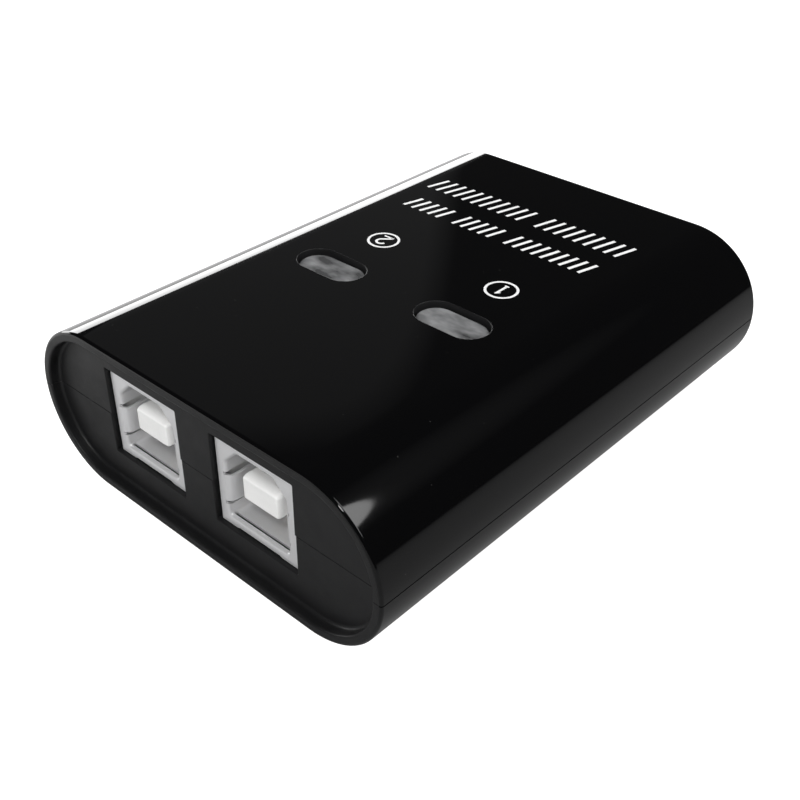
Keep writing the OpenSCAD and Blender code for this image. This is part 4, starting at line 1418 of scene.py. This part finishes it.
def studio_world(s):
    """Even light for matt surfaces; polished ones see a dim room with a pale card and a soft glow in it.

    The card is |a|^5 + |b|^5 < 1 with a and b from the direction's x / y and z; the glow is a ramp of the
    direction's cosine with a fixed one.
    """
    world = bpy.data.worlds.new("studio")
    world.use_nodes = True
    bpy.context.scene.world = world
    tree = world.node_tree
    direction = tree.nodes.new("ShaderNodeTexCoord").outputs["Generated"]
    split = tree.nodes.new("ShaderNodeSeparateXYZ")
    tree.links.new(direction, split.inputs[0])
    ahead = math_node(tree, "MAXIMUM", split.outputs["Y"], 0.05)
    sideways = math_node(tree, "DIVIDE", split.outputs["X"], ahead)
    shares = []
    for value, (middle, half) in ((sideways, CARD_SIDEWAYS), (split.outputs["Z"], CARD_UP)):
        offset = math_node(tree, "DIVIDE", math_node(tree, "SUBTRACT", value, middle), half)
        shares.append(math_node(tree, "POWER", math_node(tree, "ABSOLUTE", offset), 5.0))
    card = ramp(tree, math_node(tree, "ADD", *shares), 0.8, 1.25, CARD_LIGHT, 0.0)
    cosine = tree.nodes.new("ShaderNodeVectorMath")
    cosine.operation = "DOT_PRODUCT"
    tree.links.new(direction, cosine.inputs[0])
    cosine.inputs[1].default_value = GLOW_WAY
    glow = ramp(tree, cosine.outputs["Value"], 0.93, 0.99, 0.0, GLOW_LIGHT)
    room = math_node(tree, "ADD", math_node(tree, "ADD", card, glow), ROOM_LIGHT)
    ray = tree.nodes.new("ShaderNodeLightPath").outputs
    even = math_node(tree, "MULTIPLY", math_node(tree, "SUBTRACT", 1.0, ray["Is Glossy Ray"]), s.sky)
    polished = math_node(tree, "MULTIPLY_ADD", room, ray["Is Glossy Ray"], even)
    background = tree.nodes["Background"]
    background.inputs["Color"].default_value = (1, 1, 1, 1)
    feed(tree, background.inputs["Strength"], math_node(tree, "ADD", polished, ray["Is Camera Ray"]))


def floor_material(s):
    """Seamless paper: painted shade on the right and far off, and a painted glow close by on the left.

    It shines towards the camera, so that it looks white all over.
    """
    material, tree, shader, place = blank_material("paper", {"Roughness": 0.8, "Specular IOR Level": 0.1})
    mottle = ramp(tree, noise(tree, place, 30.0, 4.0), 0.3, 0.7)
    pale = mix_colour(tree, mottle, colour4(s.floor, 0.985), colour4(s.floor, 1.015))
    split = tree.nodes.new("ShaderNodeSeparateXYZ")
    tree.links.new(place, split.inputs[0])
    # Painted shadow: in front of the case the paper darkens from left to right, the case's shade as polished
    # panels reflect it
    near = mix_colour(tree, ramp(tree, split.outputs["X"], -0.05, 0.03), pale, colour4(s.floor, 0.72))
    # Painted shade: far off to the right the paper turns nearly black, which ends the floor's reflection in
    # the side
    far = ramp(tree, split.outputs["X"], 0.08, 0.55)
    feed(tree, shader.inputs["Base Color"], mix_colour(tree, far, near, colour4(s.floor, 0.1)))
    shader.inputs["Emission Color"].default_value = (1, 1, 1, 1)
    seen = tree.nodes.new("ShaderNodeLightPath").outputs["Is Camera Ray"]
    # Painted light: close by on the left the paper glows, so the case's left side reflects a pale strip
    left = ramp(tree, split.outputs["X"], -0.075, -0.035, 0.5, 0.0)
    lit = math_node(tree, "MULTIPLY", seen, s.lit)
    feed(tree, shader.inputs["Emission Strength"], math_node(tree, "MAXIMUM", lit, left))
    return material


def build_stage(scene):
    """Floor, even light, softboxes and the camera."""
    s = scene.switch_stage
    curve = circle_outline(3.0, steps=96)
    floor = put("floor", loft([ring_z(curve, 0, -0.02), ring_z(curve, 0, 0)]))
    floor.data.materials.append(floor_material(s))
    studio_world(s)
    middle = (0, -0.01, 0.01)
    corner = (SIDE_X + 0.0063, FRONT + 0.0008, TOP - 0.002)
    softbox("key", (0.3, -0.8, 0.44), middle, (0.6, 0.45), 4.0, shown=False)
    softbox("back_strip", (-0.9, 0.5, 0.16), middle, (2.4, 0.3), 12.0, along=(0.5, 0.9, 0))
    softbox("rear_light", (0.409, 0.298, 0.635), corner, (0.7, 0.25), 2.4, (0.834, 0, -0.551),
            shape="ELLIPSE")
    softbox("front_light", (0.264, -0.4, 0.69), corner, (0.1, 0.1), 2.0)
    camera = bpy.data.objects.new("camera", bpy.data.cameras.new("camera"))
    camera.data.lens = s.lens
    camera.data.sensor_width = 36
    camera.data.clip_start = 0.005
    camera.location = CAMERA_PLACE
    camera.rotation_euler = Euler(CAMERA_TURN)
    scene.collection.objects.link(camera)
    scene.camera = camera
    scene.view_settings.view_transform = "Standard"


# ---------------------------------------------------------------- operators

class BuildCase(bpy.types.Operator):
    """Build both halves of the case"""

    bl_idname = "mesh.switch_case"
    bl_label = "Case Halves"

    def execute(self, context):
        build_case(context.scene)
        return {"FINISHED"}


class BuildSockets(bpy.types.Operator):
    """Build the two B sockets and the A socket"""

    bl_idname = "mesh.switch_sockets"
    bl_label = "Sockets"

    def execute(self, context):
        s = context.scene.switch_sockets
        for number in (1, 2):
            b_shell(number, s)
            b_insulator(number, s)
            b_contacts(number)
        a_shell()
        a_insulator()
        a_contacts()
        return {"FINISHED"}


class BuildButton(bpy.types.Operator):
    """Build the button cap and its spring, and finish the latching switch"""

    bl_idname = "mesh.switch_button"
    bl_label = "Push Button"

    def execute(self, context):
        button_cap(context.scene.switch_button)
        return_spring()
        for node, finish in (
                ("switch_housing", "switch_black"), ("switch_frame", "plated_steel"),
                ("switch_terminals", "tinned_wire"), ("switch_plunger", "white_nylon"),
                ("contact_clips", "gold_flash"), ("latch_pin", "spring_steel")):
            cad_node(node, FINISHES[finish])
        return {"FINISHED"}


class BuildWindows(bpy.types.Operator):
    """Build the indicator windows, the indicators under them and the print"""

    bl_idname = "mesh.switch_windows"
    bl_label = "Windows and Print"

    def execute(self, context):
        for number in (1, 2):
            lens(number, context.scene.switch_case)
            led(number)
            cad_node(f"led_leads_{number}", FINISHES["tinned_wire"])
            cad_node(f"led_spacer_{number}", FINISHES["white_spacer"])
        print_marks(context.scene)
        return {"FINISHED"}


class BuildUnderside(bpy.types.Operator):
    """Build the feet and the case screws"""

    bl_idname = "mesh.switch_underside"
    bl_label = "Feet and Screws"

    def execute(self, context):
        rubber_feet()
        case_screws()
        return {"FINISHED"}


class BuildBoard(bpy.types.Operator):
    """Finish the board and build what is soldered to it"""

    bl_idname = "mesh.switch_board"
    bl_label = "Board"

    def execute(self, context):
        cad_node("circuit_board", FINISHES["solder_mask"])
        capacitor()
        chips()
        solder_joints()
        return {"FINISHED"}


class BuildStage(bpy.types.Operator):
    """Build the floor, the light and the camera"""

    bl_idname = "scene.switch_stage"
    bl_label = "Stage"

    def execute(self, context):
        build_stage(context.scene)
        return {"FINISHED"}


OPERATORS = (BuildCase, BuildSockets, BuildButton, BuildWindows, BuildUnderside, BuildBoard, BuildStage)


class SharingSwitchPanel(bpy.types.Panel):
    """Lists the builders of the sharing switch"""

    bl_idname = "VIEW3D_PT_sharing_switch"
    bl_label = "Sharing Switch"
    bl_space_type = "VIEW_3D"
    bl_region_type = "UI"
    bl_category = "Sharing Switch"

    def draw(self, context):
        for operator in OPERATORS:
            self.layout.operator(operator.bl_idname)
        for name, group in SETTINGS.items():
            box = self.layout.box()
            for prop in group.__annotations__:
                box.prop(getattr(context.scene, name), prop)


CLASSES = (*SETTINGS.values(), *OPERATORS, SharingSwitchPanel)


def register():
    """Adds the classes, and the settings to the scene type."""
    for cls in CLASSES:
        bpy.utils.register_class(cls)
    for name, group in SETTINGS.items():
        setattr(bpy.types.Scene, name, bpy.props.PointerProperty(type=group))


def unregister():
    """Takes them away again."""
    for name in SETTINGS:
        delattr(bpy.types.Scene, name)
    for cls in reversed(CLASSES):
        bpy.utils.unregister_class(cls)


def main():
    """Builds every piece and the stage."""
    register()
    make_materials(bpy.context.scene)
    for operator in OPERATORS:
        category, name = operator.bl_idname.split(".")
        getattr(getattr(bpy.ops, category), name)()


if __name__ == "__main__":
    main()
